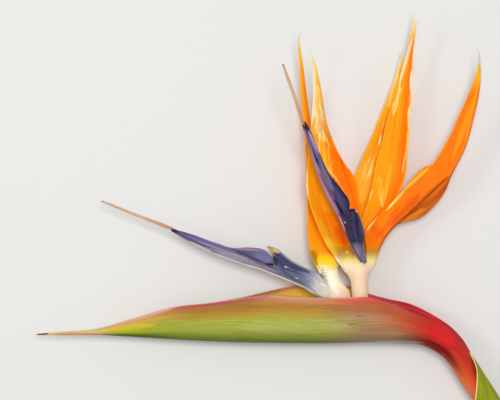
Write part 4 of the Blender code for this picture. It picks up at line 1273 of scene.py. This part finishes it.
# %% Rear tongue and hood
REAR_TONGUE = [
    ((337, 299, 2.0), (336, 303, 1.2), (337, 299, 0.4)),
    ((328, 289.4, 3.6), (325, 299, 2.4), (328, 289.4, 1.3)),
    ((315, 281, 4.4), (314, 293.6, 2.8), (315, 281, 1.2)),
    ((302, 275.5, 4.7), (300, 285.4, 3.2), (302, 276.5, 1.7)),
    ((286, 267.5, 5), (284, 278.8, 3.2), (286, 268.5, 1.4)),
    ((274.5, 258.6, 5.6), (273, 274.4, 3.2), (274.5, 259.6, 0.8)),
    ((264, 249.6, 6), (262, 270, 3.2), (264, 250.8, 0.6)),
    ((249, 247.2, 5.8), (249, 266, 3.2), (249, 247.8, 0.8)),
    ((234, 247.8, 5.2), (234, 261.2, 3.2), (234, 248.2, 1.2)),
    ((215, 242.6, 4.8), (215, 254.2, 3.2), (215, 243.2, 1.6)),
    ((192, 234.3, 4.6), (192, 243, 3.2), (192, 234.6, 1.8)),
    ((171.5, 228.6, 4.2), (171, 231, 3.2), (171.5, 228.6, 2.2)),
]
REAR_HOOD = [
    ((334, 295, 2.2), (332, 297, 2.4), (330, 299.5, 2.0)),
    ((327.8, 286.8, 4.0), (325.8, 291.6, 4.7), (323, 297.6, 4.0)),
    ((323, 279.6, 5.2), (320.4, 286.4, 6.2), (317, 293.8, 5.0)),
    ((316.4, 272.8, 5.9), (314.4, 280, 7.2), (311.2, 288.4, 5.4)),
    ((303, 267, 6.3), (302.2, 274.6, 7.9), (300.0, 283.4, 5.0)),
    ((292, 261, 6.7), (290.4, 269, 8.0), (288.2, 278.2, 5.0)),
    ((283, 253.8, 7), (281.4, 261.4, 7.8), (279.4, 272.4, 5.2)),
    ((277.6, 249.4, 7.1), (275.6, 255, 7.5), (273.2, 264.0, 5.6)),
    ((272.6, 247.0, 7.3), (271.8, 249.2, 7.4), (271.2, 253.2, 6.8)),
    ((267.4, 246.0, 7.4), (267.2, 246.5, 7.4), (267.2, 247.1, 7.4)),
]


def rear_tongue_relief(s, t):
    """A step where the shaft lies over the thin lobe, and a round rib along the shaft."""
    edge = 0.36 - 1.15 * (s - 0.4)
    lobe = eased(edge - t, 0, 0.02) * eased(s, 0.38, 0.42) * (1 - eased(s, 0.66, 0.72))
    rib = np.exp(-(((t - 0.4) / 0.06) ** 2)) * eased(s, 0.12, 0.3)
    return -0.6 * lobe + 0.25 * rib + 0.06 * wander(s, t, 33, pace_t=3)


# %% Rear tongue, painted
REAR_TONGUE_STROKES = {
    "grey middle band": ((214, 249.4), (280, 273), 1.7, GREY_LAVENDER, 0.8, 0.6),
    "white lower edge": ((188, 241), (213, 252.6), 0.7, PALE_GREY, 0.9),
    "white middle edge": ((211, 252.2), (244, 264.2), 0.8, PALE_GREY, 0.9),
    "grey lavender low": ((205, 247), (250, 263.6), 1.3, GREY_LAVENDER, 0.6, 0.5),
    "white edge to the foot": ((242, 263.8), (306, 287.6), 1.2, EDGE_CREAM, 0.95),
    # Painted pink highlights along the rib
    "pink band": ((196, 240.8), (256, 261.6), 0.5, PINK_HIGHLIGHT_GREY, 0.8, 0.6),
    "thin light line": ((190, 237.4), (262, 264), 0.35, LAVENDER, 0.7, 0.5),
    "blue upper band": ((186, 235), (236, 253.6), 0.9, SLATE_VIOLET, 0.8),
    "dark upper line": ((176, 230), (226, 249.4), 0.35, INDIGO, 0.6),
    "lobe rim": ((236, 248.4), (262, 250.4), 0.5, DUSK_MAUVE, 0.9),
    "lobe dark": ((236, 252), (256, 256), 1.6, INDIGO, 0.45, 0.6),
    "lobe blue": ((256, 254), (272, 261), 2.0, SLATE_VIOLET, 0.8),
    "step shade": ((229.8, 248), (267.8, 264.4), 0.4, DEEP_INDIGO, 0.9),
    "dark notch": ((265, 263.8), (275, 264.8), 0.9, NIGHT, 1.0),
    "dark end": ((170.6, 229.6), (178, 232.4), 0.9, DEEP_INDIGO, 0.95),
}
make_blade(
    "rear_tongue", REAR_TONGUE,
    petal_look(
        "rear_tongue_skin",
        [(0.0, SLATE_VIOLET), (0.12, SLATE_VIOLET), (0.24, VIOLET), (0.32, SLATE_VIOLET), (0.4, GREY_LAVENDER),
         (0.46, PALE_GREY), (0.52, PALE_GREY), (0.56, LAVENDER), (0.75, VIOLET), (1.0, LAVENDER)],
        [(0.0, CREAM_WHITE, 1.0), (0.1, CREAM_WHITE, 1.0), (0.18, MIST, 0.95), (0.26, PALE_SLATE, 0.85),
         (0.36, SLATE_BLUE, 0.5), (0.5, SLATE_BLUE, 0.0), (0.78, VIOLET, 0.0), (0.9, VIOLET, 0.3), (1.0, INDIGO, 0.7)],
        37.0, 4.0, REAR_TONGUE_STROKES, veins=0.2,
    ),
    rows=170, columns=81, fold=0.25, middle=0.7, margin=0.28, relief=rear_tongue_relief,
)

# %% Rear hood, painted
REAR_HOOD_STROKES = {
    "dark middle": ((279, 258), (310, 273), 2.2, DEEP_BLUE, 0.8, 0.4),
    # Painted shade under the hood's left end
    "shade under the left end": ((273.6, 256), (277, 266), 1.6, NIGHT, 0.7),
    "steel below": ((284, 270), (312, 283), 1.4, PALE_SLATE, 0.5, 0.6),
    "left pink fleck": ((284, 266.2), (289, 268.2), 0.55, PINK_FLECK, 0.7, 1.2),
    "right pink fleck": ((288.6, 268.8), (297, 270.6), 0.5, MAUVE, 0.8, 1.2),
    "pink light": ((284.6, 266.2), (286.4, 267.2), 0.35, WHITE, 0.9),
    "small glint": ((305.6, 276.6), (309.8, 280.4), 0.5, PALE_GREY, 0.8, 1.6),
    "left glint": ((294.6, 277.4), (298.6, 279.2), 0.4, PALE_GREY, 0.9),
    "long glint": ((320, 283), (327.8, 287.4), 0.45, WHITE, 1.0),
    "upper edge": ((279, 251), (296, 264.6), 0.8, SLATE_MIST, 0.8),
    "upper edge to the foot": ((293, 262.6), (319, 273.6), 0.8, SLATE_MIST, 0.8),
    "tan hook": ((267, 246.4), (274, 248.6), 0.8, TAN, 1.0),
    "tan end": ((273, 248.6), (279.6, 253.2), 0.9, CREAM_TAN, 0.95, 0.6),
    # Painted shade under the hood's end, by the hook
    "shade by the hook": ((272.6, 252.6), (279, 255.6), 0.5, NIGHT, 0.6),
}
make_blade(
    "rear_hood_petal", REAR_HOOD,
    petal_look(
        "rear_hood_skin",
        [(0.0, SLATE_BLUE), (0.12, BLUE_SLATE), (0.3, DEEP_BLUE), (0.55, DEEP_BLUE), (0.75, BLUE_SLATE),
         (0.9, SLATE_BLUE), (1.0, SLATE_MIST)],
        [(0.0, CREAM_WHITE, 1.0), (0.14, CREAM_WHITE, 1.0), (0.2, COOL_WHITE, 1.0), (0.3, MIST, 1.0),
         (0.42, PALE_SLATE, 0.9), (0.53, SLATE_BLUE, 0.5), (0.62, DEEP_BLUE, 0.1), (0.86, DEEP_BLUE, 0.0),
         (0.91, TAN, 0.8), (1.0, CREAM_TAN, 1.0)],
        38.0, 7.0, REAR_HOOD_STROKES, veins=0.15,
    ),
    rows=110, columns=41, fold=0.1, middle=0.6, margin=0.25, relief=rear_hood_relief,
)

# %% [markdown]
# ## Styles
# A thin style stands out of the end of each tongue. It is a rod a little over a millimetre thick, peach
# at its foot and tan above, with a slightly lumpy surface, and it thins to its blunt end.

# %% The two styles
def style_look():
    """Tan at the end and peach at the foot, with long darker lines."""
    made, tree, shader = new_look("style_skin", roughness=0.6)
    u, v = skin_axes(tree)
    lines = use(tree, fibres, Across=9.0, Along=9.0, Seed=41.0)
    body = [(0.0, MAUVE), (0.08, PEACH), (0.5, LIGHT_TAN), (0.95, LIGHT_TAN), (1.0, RUST)]
    colour = ramp(tree, v, body).outputs["Color"]
    colour = tinted(tree, colour, RUST, lines["Streak"], 0.25)
    dress(tree, shader, colour, lines["Streak"], 0.1)
    return made


def lumps(s, a):
    """Small lumps, a tenth of the rod's half width at most."""
    return 0.06 * wander(s, a, 42, waves=9, pace_s=16, pace_t=3)


STYLES = {
    "front_style": [((304.4, 127, 22.6), 0.45, 0.4), ((302.4, 121, 24.4), 0.6, 0.5), ((293.6, 94, 27.4), 0.68, 0.6),
                    ((286, 73, 29.2), 0.6, 0.55), ((283, 64.3, 30), 0.35, 0.3)],
    "rear_style": [((178, 231.4, 3.2), 0.4, 0.4), ((171, 228.4, 3.2), 0.68, 0.6), ((150, 220.3, 3.2), 0.68, 0.6),
                   ((125, 210.6, 3.1), 0.58, 0.55), ((108, 203.6, 3), 0.46, 0.42), ((101.6, 201, 3), 0.25, 0.25)],
}
style_skin = style_look()
for name, stations in STYLES.items():
    make_tube(name, stations, style_skin, rows=90, columns=20, grow=lumps)


# %% [markdown]
# ## Spathe
# The spathe is one tough leaf folded into a boat. Its two margins press together along the beak and over
# the bend, and part in the middle, where the florets come out. A cross section is an arc that turns up
# from the keel to each margin. The wall is a second sheet inside the first, thinner at the margins.

# %% Spathe shape
# Each station: pixel of the keel, of the near rim and of the far rim, then the half width and the wall in
# millimetres, and how far the wall turns up to the near rim and the far rim, in degrees
SPATHE_STATIONS = np.array([
    (37, 335.2, 37, 333.8, 37, 333.8, 0.45, 0.3, 172, 172),
    (62, 335.2, 62, 331.8, 62, 331.8, 0.95, 0.6, 174, 174),
    (97, 334.9, 97, 328.7, 97, 328.7, 1.7, 1.0, 175, 175),
    (133, 336.8, 133, 318.6, 133, 318.6, 3.3, 1.2, 176, 176),
    (177, 339.4, 176, 306.8, 176, 306.8, 5.3, 1.2, 176, 176),
    (212, 341, 212, 302.9, 212, 302.7, 6.9, 1.2, 176, 176),
    (240, 342.1, 240, 298.5, 240, 297.6, 8.2, 1.2, 172, 173),
    (271, 342.6, 271, 294.6, 271, 290.6, 9.5, 1.2, 156, 162),
    (300, 342.9, 300, 296, 299, 285.4, 10.5, 1.2, 138, 145),
    (335, 343, 335, 296.8, 335, 285.8, 10.6, 1.2, 135, 145),
    (352, 342.6, 352, 296.2, 352, 286.5, 10.6, 1.2, 136, 146),
    (368, 342.1, 368, 296.4, 369, 294, 10.3, 1.2, 143, 150),
    (385, 342.2, 387, 301.6, 388, 299, 9.4, 1.2, 155, 158),
    (405, 343, 411, 309.8, 412, 304.6, 8.1, 1.2, 165, 165),
    (421, 344.8, 432, 319, 433, 314.8, 7, 1.1, 170, 170),
    (434, 350.5, 450.5, 327.6, 451, 326.8, 6.1, 0.9, 174, 174),
    (444, 358, 462.6, 339.5, 462.8, 339.3, 5.4, 0.7, 175, 175),
    (453.6, 371, 473.4, 358.2, 473.4, 358.2, 4.9, 0.6, 176, 176),
    (462, 384, 480.4, 372.5, 480.4, 372.5, 4.8, 0.6, 176, 176),
    (473, 400.2, 491.4, 388.9, 491.4, 388.9, 4.8, 0.6, 176, 176),
    (482, 415, 500.4, 403.8, 500.4, 403.8, 4.8, 0.6, 176, 176),
], float)


# Between these turns from keel to rim, in degrees, a section goes from open to closed, and its sides are
# drawn in near the top by this share
CREST_TURNS = (158, 174)
CREST_PINCH = 0.55


def spathe_sheet(rows, columns):
    """The outer sheet of the spathe, how high each point is from keel to rim, and its wall.

    At a turn from the keel the sheet stands half width x sin(turn) out of the middle plane, and has gone
    (1 - cos(turn)) / (1 - cos(whole turn)) of the way from keel to rim. Where the margins meet, the sides
    are drawn in near the top, so they end in a crest.
    """
    knots = running_share(SPATHE_STATIONS[:, :2])
    read = smooth_rows(knots, SPATHE_STATIONS, np.linspace(0, 1, rows))[:, None, :]
    t = np.linspace(0, 1, columns)[None, :]
    near_turn, far_turn = np.radians(read[..., 8]), np.radians(read[..., 9])
    turn = -far_turn + t * (near_turn + far_turn)
    nearer = turn > 0
    full = np.where(nearer, near_turn, far_turn)
    rim = np.where(nearer[..., None], read[..., 2:4], read[..., 4:6])
    rise = (1 - np.cos(turn)) / (1 - np.cos(full))
    pixel = read[..., 0:2] + (rim - read[..., 0:2]) * rise[..., None]
    closed = eased(full, *np.radians(CREST_TURNS))
    height = read[..., 6] * np.sin(turn) * (1 - CREST_PINCH * closed * eased(rise, 0.55, 1.0))
    height = np.maximum(height, -MIDDLE_HEIGHT)
    sheet = placed(np.concatenate((pixel, np.zeros(pixel.shape[:2] + (1,))), axis=-1))
    sheet[..., 2] += height * MM
    return sheet, rise, read[..., 7] + 0 * turn


SPATHE_ROWS, SPATHE_COLUMNS = 240, 151
RIB_COUNT = 46
RIB_HEIGHT = 0.035

sheet, rise, wall = spathe_sheet(SPATHE_ROWS, SPATHE_COLUMNS)
s = np.linspace(0, 1, SPATHE_ROWS)[:, None]
t = np.linspace(0, 1, SPATHE_COLUMNS)[None, :]
ribs = RIB_HEIGHT * np.sin(2 * np.pi * (RIB_COUNT * t + 0.25 * wander(s, t, 51, pace_s=2, pace_t=1)))
ribs = ribs * eased(s, 0.1, 0.25) * (1 - eased(s, 0.78, 0.9)) * (1 - eased(rise, 0.75, 0.95))
low = sheet[..., 2] < 2 * MM
outside = outward(sheet)
middle_line = sheet.mean(axis=1, keepdims=True)
if (outside * (sheet - middle_line)).sum() < 0:
    outside = -outside
lift = np.where(low, 0, ribs + 0.1 * wander(s, t, 52, pace_s=5, pace_t=3) * eased(s, 0.1, 0.3))
sheet = sheet + outside * (lift * MM)[..., None]
thin_rim = 1 - 0.7 * eased(rise, 0.8, 1.0)
inner_sheet = sheet - outside * (wall * thin_rim * MM)[..., None]
print("spathe sheet:", sheet.shape, "lowest point in mm:", round(sheet[..., 2].min() * 1000, 3))

# %% [markdown]
# The spathe is green along its keel, and goes through ochre to a thin rose rim. Towards the florets the
# green turns to tan, and over the bend the whole leaf is scarlet, which fades to orange down the neck.
# Each stretch has its own ramp from keel to rim, and along the leaf one gives way to the next. Fine pale
# and dark fibres run its whole length. Two attributes carry the place on the leaf: rise, from keel to
# rim, and inside, which is 1 on the inner wall.

# %% Spathe paint
# Each stretch: where along the leaf it takes over from the one before, and its ramp from keel to rim
STRETCHES = {
    "beak": ((0.0, 0.0), [(0.0, SALMON), (0.3, BEAK_CREAM), (0.6, BEAK_CREAM), (1.0, BEAK_CREAM)]),
    "lime belly": ((0.1, 0.17), [(0.0, OLIVE), (0.1, MOSS), (0.28, LIME_LEAF), (0.54, LIME_LEAF), (0.7, SUN_OCHRE),
                                 (0.84, SUN_OCHRE), (0.92, SALMON), (0.97, PALE_ROSE), (1.0, PALE_ROSE)]),
    "green belly": ((0.22, 0.34), [(0.0, OLIVE), (0.1, LEAF), (0.32, SOFT_LIME), (0.54, SOFT_LIME),
                                   (0.66, YELLOW_OCHRE), (0.8, OCHRE_ORANGE), (0.9, OCHRE_ORANGE),
                                   (0.96, DUSTY_ROSE), (1.0, PALE_ROSE)]),
    "open belly": ((0.42, 0.5), [(0.0, OLIVE), (0.1, LEAF), (0.32, SOFT_LIME), (0.52, SOFT_LIME), (0.66, YELLOW_OCHRE),
                                 (0.8, OCHRE_ORANGE), (0.88, SALMON_TAN), (0.96, PALE_SALMON), (1.0, PALE_ROSE)]),
    "shoulder": ((0.56, 0.7), [(0.0, STONE), (0.1, STONE), (0.3, SAND), (0.58, SAND), (0.72, CLAY),
                               (0.86, ROSE_BROWN), (0.95, HOT_SALMON), (1.0, HOT_ROSE)]),
    "salmon turn": ((0.66, 0.78), [(0.0, DARK_STONE), (0.12, DARK_STONE), (0.26, SAND_BROWN), (0.5, TERRACOTTA),
                                   (0.8, TERRACOTTA), (0.93, SALMON_RED), (1.0, HOT_ROSE)]),
    # The oxblood band low on the bend is painted shade
    "scarlet bend": ((0.735, 0.815), [(0.0, RUST_RED), (0.12, SHADE_OXBLOOD), (0.24, SHADE_OXBLOOD), (0.42, SCARLET),
                                      (0.8, SCARLET), (1.0, CRIMSON)]),
    # The bright orange near the keel of the neck is painted light
    "orange neck": ((0.85, 0.94), [(0.0, LIT_NECK_ORANGE), (0.2, LIT_NECK_ORANGE), (0.45, NECK_ORANGE), (0.75, NECK_BROWN),
                                   (1.0, NECK_BROWN)]),
}

# %% Strokes on the spathe
SPATHE_STROKES = {
    "beak foot": ((52, 335.2), (98, 334.4), 0.5, SALMON, 0.8),
    "red brown tip": ((34, 335), (47, 334.4), 1.2, TIP_BROWN, 1.0),
    "first nick": ((133, 319), (136, 318.2), 0.35, PALE_ROSE, 1.0),
    "second nick": ((176.4, 307), (179.8, 306.2), 0.35, PALE_ROSE, 1.0),
    "hot rim": ((344, 297.4), (380, 299.4), 1.5, HOT_ROSE, 0.8),
    "light rim": ((326, 297.4), (362, 297.2), 0.7, LIGHT_ROSE, 0.75),
    "brown fleck": ((354.5, 314.6), (362, 316.2), 0.5, CLAY_DARK, 0.8),
    "brown streak": ((346, 309.6), (374, 311), 0.5, CLAY_DARK, 0.4),
    "second streak": ((330, 306), (358, 306.6), 0.5, CLAY_DARK, 0.35),
    "turn shade": ((366, 338.6), (404, 340), 1.2, DARK_STONE, 0.5),
    # A painted highlight along the keel
    "keel highlight": ((374, 341.8), (424, 343.2), 0.8, KEEL_HIGHLIGHT_STONE, 0.5),
    "beak glow": ((96, 332), (156, 325), 1.8, POINT_YELLOW, 0.35),
    "pale rim": ((104, 329), (178, 307.4), 0.9, PALE_ROSE, 0.7),
    "pink rim": ((168, 309.6), (240, 301.4), 1.0, ROSE_RED, 0.6),
    "pink rim on": ((232, 302.4), (272, 296.2), 0.8, ROSE_RED, 0.45),
    "ochre shreds": ((180, 316), (330, 314), 2.2, YELLOW_OCHRE, 0.5, 1.3),
    "light shreds": ((236, 327), (352, 326), 4.0, PALE_FIBRE, 0.3, 1.7),
    "brown shreds": ((330, 309), (396, 315), 3.0, BROWN_ROSE, 0.38, 1.4),
    "low brown shreds": ((345, 322), (404, 328), 3.4, BROWN_ROSE, 0.35, 1.5),
    "rose brown shade": ((325, 304), (384, 307), 2.6, ROSE_BROWN, 0.6, 0.8),
    "rose brown middle": ((338, 314), (392, 318), 3.4, ROSE_GREY, 0.45, 1.2),
    "rose grey low": ((352, 330), (404, 334), 3.4, ROSE_GREY, 0.5, 0.8),
    "rim glint": ((389, 300.6), (402, 304.6), 0.5, MIST, 0.9),
    # A painted shadow line under the near rim
    "rim shadow line": ((398, 306.2), (440, 322), 0.45, SHADE_OXBLOOD, 0.85),
    "bend light": ((434, 322), (454, 346), 4.5, BRIGHT_SCARLET, 0.6),
    # Painted shade low on the bend
    "bend shade": ((424, 343.4), (444, 353.6), 3.0, SHADE_OXBLOOD, 0.85),
    "bend deep shade": ((428, 345), (442, 352), 2.0, SHADE_OXBLOOD, 0.8),
    "red start": ((424, 318), (446, 338), 4.0, SCARLET, 0.4),
    # A painted highlight along the neck's lower edge
    "lit neck edge": ((448, 362), (474, 398), 1.6, LIT_NECK_ORANGE, 0.6),
    "wall glint": ((384, 300.4), (402, 303.2), 0.5, PALE_ROSE, 0.7),
}

# %% The spathe, painted
def spathe_look():
    """The stretches' ramps one after another, the inner wall, strokes of the brush, and fibres over them."""
    made, tree, shader = new_look("spathe_skin_look", coat=0.02, coat_roughness=0.25, soft=0.03, gloss=0.12)
    u, v = skin_axes(tree)
    rise_here = mark_on(tree, "rise")
    inside_here = mark_on(tree, "inside")
    thin = use(tree, fibres, Across=112.0, Along=9.0, Seed=55.0)
    wide = use(tree, fibres, Across=34.0, Along=2.5, Seed=56.0)
    patches = use(tree, mottle, Size=7.0, Seed=57.0)
    uneven = reckon(tree, "SUBTRACT", wide["Streak"], 0.5)
    rise_moved = reckon(tree, "MULTIPLY_ADD", uneven, 0.035, rise_here)
    v_moved = reckon(tree, "MULTIPLY_ADD", uneven, 0.022, v)
    colour = None
    for (start, end), stops in STRETCHES.values():
        stretch = ramp(tree, rise_moved, stops).outputs["Color"]
        colour = stretch if colour is None else mixed(tree, band(tree, v_moved, start, end), colour, stretch)
    colour = tinted(tree, colour, FIBRE_SHADE, thin["Streak"], 0.5, "MULTIPLY")
    colour = tinted(tree, colour, PALE_FIBRE, thin["Line"], 0.16)
    colour = brush(tree, colour, SPATHE_STROKES, 7.0, thin["Streak"])
    inner = tinted(tree, DEEP_OCHRE, YELLOW_OCHRE, thin["Streak"], 0.3)
    inner = mixed(tree, band(tree, rise_here, 0.93, 0.98), inner, PALE_SALMON)
    inner = mixed(tree, band(tree, v, 0.655, 0.69), inner, DUSKY_PINK)
    inner = mixed(tree, band(tree, v, 0.72, 0.76), inner, CRIMSON_ROSE)
    colour = mixed(tree, inside_here, colour, inner)
    rough = reckon(tree, "MULTIPLY_ADD", patches["Grain"], 0.25, 0.4)
    tree.links.new(rough, shader.inputs["Roughness"])
    relief = summed(tree, thin["Streak"], 0.8, patches["Grain"], 0.3)
    dress(tree, shader, colour, relief, 0.08)
    return made


points, faces, uv = skin_between(sheet, inner_sheet)
inside_mark = np.repeat((0.0, 1.0), SPATHE_ROWS * SPATHE_COLUMNS)
make_piece("spathe", points, faces, uv, "spathe", spathe_look(),
           {"rise": np.concatenate((rise.ravel(), rise.ravel())), "inside": inside_mark, "back": inside_mark})


# %% [markdown]
# ## Stem and sheath
# The stem runs from inside the spathe, round the bend and down to its cut end. It has one node ring. A
# green sheath wraps the neck. It starts in a point on the outer side of the bend, and closes round the
# stem lower down. Its margin is a thin cream line.

# %% Stem
# Each station: a guide point and the radius in millimetres
STEM_ROWS = 200
STEM_COLUMNS = 40
STEM = [
    ((322, 324, 0), 3.0), ((345, 324, 0), 3.5), ((370, 324.3, 0), 3.7), ((395, 325.5, 0), 3.85),
    ((412, 328.5, 0), 3.85), ((428, 334, 0), 3.85), ((442, 341.5, 0), 3.85), ((453, 350.5, 0), 3.85),
    ((462.4, 365.3, 0), 3.85), ((471.2, 378.3, 0), 3.85), ((482.2, 394.4, 0), 3.85), ((491.0, 408.4, 0), 4.2),
    ((494.5, 414.2, 0), 4.7), ((505, 431.5, -0.4), 4.7), ((524, 465.4, -1.5), 4.7), ((529.3, 475, -1.8), 4.75),
    ((535, 487, -2.2), 4.65), ((556, 536, -3.7), 4.6), ((579, 592, -5.4), 4.6),
]
# The node ring: the station that it sits at, half its length as a share of the stem, and its height
RING_STATION = 15
RING_HALF_LENGTH = 0.006
RING_HEIGHT = 0.85
# The rings of the cut end, from the rind inwards: how far each stands forth in millimetres, its size as a
# share of the stem, and how much of the pith's colour it has
CUT_RINGS = [
    (0.02, 0.97, 0.6), (0.03, 0.9, 1.0), (0.02, 0.75, 1.0), (-0.05, 0.55, 1.0), (-0.12, 0.3, 1.0), (-0.15, 0.08, 1.0),
]


def stem_look():
    """Green with pale long fibres, a straw node ring, and a pale pith with darker strands at the cut."""
    made, tree, shader = new_look("stem_skin", roughness=0.42, coat=0.15, coat_roughness=0.3)
    u, v = skin_axes(tree)
    ring_here = mark_on(tree, "ring")
    cut_here = mark_on(tree, "cut")
    lines = use(tree, fibres, Across=44.0, Along=6.0, Seed=61.0)
    patches = use(tree, mottle, Size=6.0, Seed=62.0)
    strands = use(tree, mottle, Size=0.9, Seed=63.0)
    colour = tinted(tree, LEAF, MOSS, lines["Streak"], 0.6)
    colour = tinted(tree, colour, LIME, patches["Patch"], 0.3)
    colour = mixed(tree, ring_here, colour, OCHRE)
    pith = tinted(tree, CREAM, OCHRE, strands["Patch"], 0.7)
    colour = mixed(tree, cut_here, colour, pith)
    dress(tree, shader, colour, reckon(tree, "ADD", lines["Streak"], strands["Patch"]), 0.1)
    return made


def held_on(rows, times):
    """Rows with the last one said again a number of times."""
    return np.concatenate((rows, np.repeat(rows[-1:], times, axis=0)))


read, shares = read_along(STEM, STEM_ROWS)
ring = np.exp(-(((np.linspace(0, 1, STEM_ROWS) - shares[RING_STATION]) / RING_HALF_LENGTH) ** 2))
forth, size, cut_colour = np.array(CUT_RINGS).T
path = held_on(read[:, :3], len(CUT_RINGS))
step = read[-1, :3] - read[-2, :3]
path[STEM_ROWS:] += step / np.linalg.norm(step) * MM * forth[:, None]
widths = np.concatenate((read[:, 3] + RING_HEIGHT * ring, read[-1, 3] * size))
sideways, upwards = (held_on(way, len(CUT_RINGS))[:, None] for way in ways_along(read[:, :3]))
a = 2 * np.pi * np.arange(STEM_COLUMNS)[None, :, None] / STEM_COLUMNS
rings = path[:, None] + (sideways * np.cos(a) + upwards * np.sin(a)) * (widths * MM)[:, None, None]
points, faces, uv = skin_round(rings)
ring_mark = np.concatenate((ring, np.zeros(len(CUT_RINGS))))
cut_mark = np.concatenate((np.zeros(STEM_ROWS), cut_colour))
make_piece("stem", points, faces, uv, "stem", stem_look(), {
    "ring": np.concatenate((np.repeat(ring_mark, STEM_COLUMNS), (0.0, 0.0))),
    "cut": np.concatenate((np.repeat(cut_mark, STEM_COLUMNS), (0.0, 1.0))),
})

# %% Sheath
# Each station: a guide point, the radius in millimetres, and how far the sheath wraps each way in degrees
SHEATH = [
    ((457.6, 356.2, 0), 5.5, 2), ((460.2, 360.6, 0), 5.6, 14), ((464.5, 367.4, 0), 5.75, 30),
    ((468.2, 373.2, 0), 5.85, 48), ((472.9, 380.4, 0), 5.8, 78), ((477.6, 387.4, 0), 5.8, 107),
    ((482.2, 394.4, 0), 5.8, 140), ((487.4, 402.6, 0), 5.8, 172), ((492.8, 411.3, 0), 5.8, 180),
    ((505, 431.5, -0.4), 5.75, 186), ((524, 465.6, -1.55), 5.4, 190), ((527.4, 471.5, -1.7), 5.2, 190),
]
SHEATH_ROWS, SHEATH_COLUMNS = 130, 61
SHEATH_WALL = 0.5


def sheath_look():
    """Yellow green with darker long fibres, and a cream margin."""
    made, tree, shader = new_look("sheath_skin", roughness=0.45, coat=0.08, coat_roughness=0.25, soft=0.05, gloss=0.15)
    u, v = skin_axes(tree)
    lines = use(tree, fibres, Across=52.0, Along=3.0, Seed=71.0)
    wide = use(tree, fibres, Across=12.0, Along=2.0, Seed=72.0)
    colour = tinted(tree, SHEATH_GREEN, SHEATH_OLIVE, wide["Streak"], 0.6)
    colour = tinted(tree, colour, LIME, lines["Line"], 0.25)
    from_middle = reckon(tree, "ABSOLUTE", reckon(tree, "SUBTRACT", u, 0.5))
    margin = band(tree, from_middle, 0.455, 0.485)
    colour = mixed(tree, margin, colour, MARGIN_CREAM)
    dress(tree, shader, colour, lines["Streak"], 0.1)
    return made


read, shares = read_along(SHEATH, SHEATH_ROWS)
away, above = (way[:, None] for way in ways_along(read[:, :3]))
t = np.linspace(0, 1, SHEATH_COLUMNS)[None, :]
turn = np.radians(read[:, 4:5]) * (1 - 2 * t)
overlap = SHEATH_WALL * eased(np.degrees(np.abs(turn)), 172, 186) * np.sign(turn)
radius = read[:, 3:4] + overlap + 0.04 * np.sin(2 * np.pi * 16 * t)
outward_way = away * np.cos(turn)[..., None] + above * np.sin(turn)[..., None]
outer = read[:, None, :3] + outward_way * (radius * MM)[..., None]
inner = outer - outward_way * (SHEATH_WALL * MM)
points, faces, uv = skin_between(outer, inner)
make_piece("stem_sheath", points, faces, uv, "stem_sheath", sheath_look())

# %% [markdown]
# ## Unopened florets
# Three florets wait inside the spathe, furled into slim spindles. Only the slit lets them be seen. They
# are tubes with three shallow grooves, where the furled sepals meet.

# %% The three unopened florets
BUDS = {
    "bud_1": [((320.7, 324, 1.7), 1.0), ((290, 322, 3.6), 2.4), ((255, 322, 3.2), 2.6), ((215, 323, 1.5), 1.9),
              ((178, 324, 0), 0.5)],
    "bud_2": [((320.7, 327.3, -0.85), 1.0), ((290, 331.5, -1.8), 2.2), ((255, 332, -1.6), 2.4),
              ((215, 331, -1), 1.6), ((185, 330, -0.3), 0.5)],
    "bud_3": [((320.7, 320.7, -0.85), 1.0), ((290, 313, -2.6), 2.2), ((255, 313, -2.4), 2.4),
              ((215, 315, -1.2), 1.5), ((190, 317, -0.3), 0.5)],
}


def bud_look():
    """Cream at the foot, gold in the middle and orange at the point, with fine lines."""
    made, tree, shader = new_look("bud_skin", roughness=0.4, coat=0.2)
    u, v = skin_axes(tree)
    lines = use(tree, fibres, Across=24.0, Along=3.0, Seed=81.0)
    colour = ramp(tree, v, [(0.0, CREAM), (0.3, PALE_GOLD), (0.7, GOLD), (1.0, AMBER)]).outputs["Color"]
    colour = tinted(tree, colour, LEAF, lines["Streak"], 0.3)
    dress(tree, shader, colour, lines["Streak"], 0.08)
    return made


def three_grooves(s, a):
    """Three grooves a quarter of a millimetre deep, fading at both ends."""
    return -0.25 * np.maximum(0, np.cos(2 * np.pi * 3 * a)) ** 8 * eased(s, 0, 0.2) * (1 - eased(s, 0.85, 1))


bud_skin = bud_look()
for name, stations in BUDS.items():
    make_tube(name, [(guide, radius, radius) for guide, radius in stations], bud_skin,
              rows=60, columns=36, grow=three_grooves)


# %% [markdown]
# ## Last look
# The triangles of every shown piece are counted, and the total and the piece with the most are printed.

# %% Sizes
triangles = {}
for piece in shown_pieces():
    piece.data.calc_loop_triangles()
    triangles[piece.name] = len(piece.data.loop_triangles)
print("triangles:", sum(triangles.values()), "most:", max(triangles, key=triangles.get), max(triangles.values()))
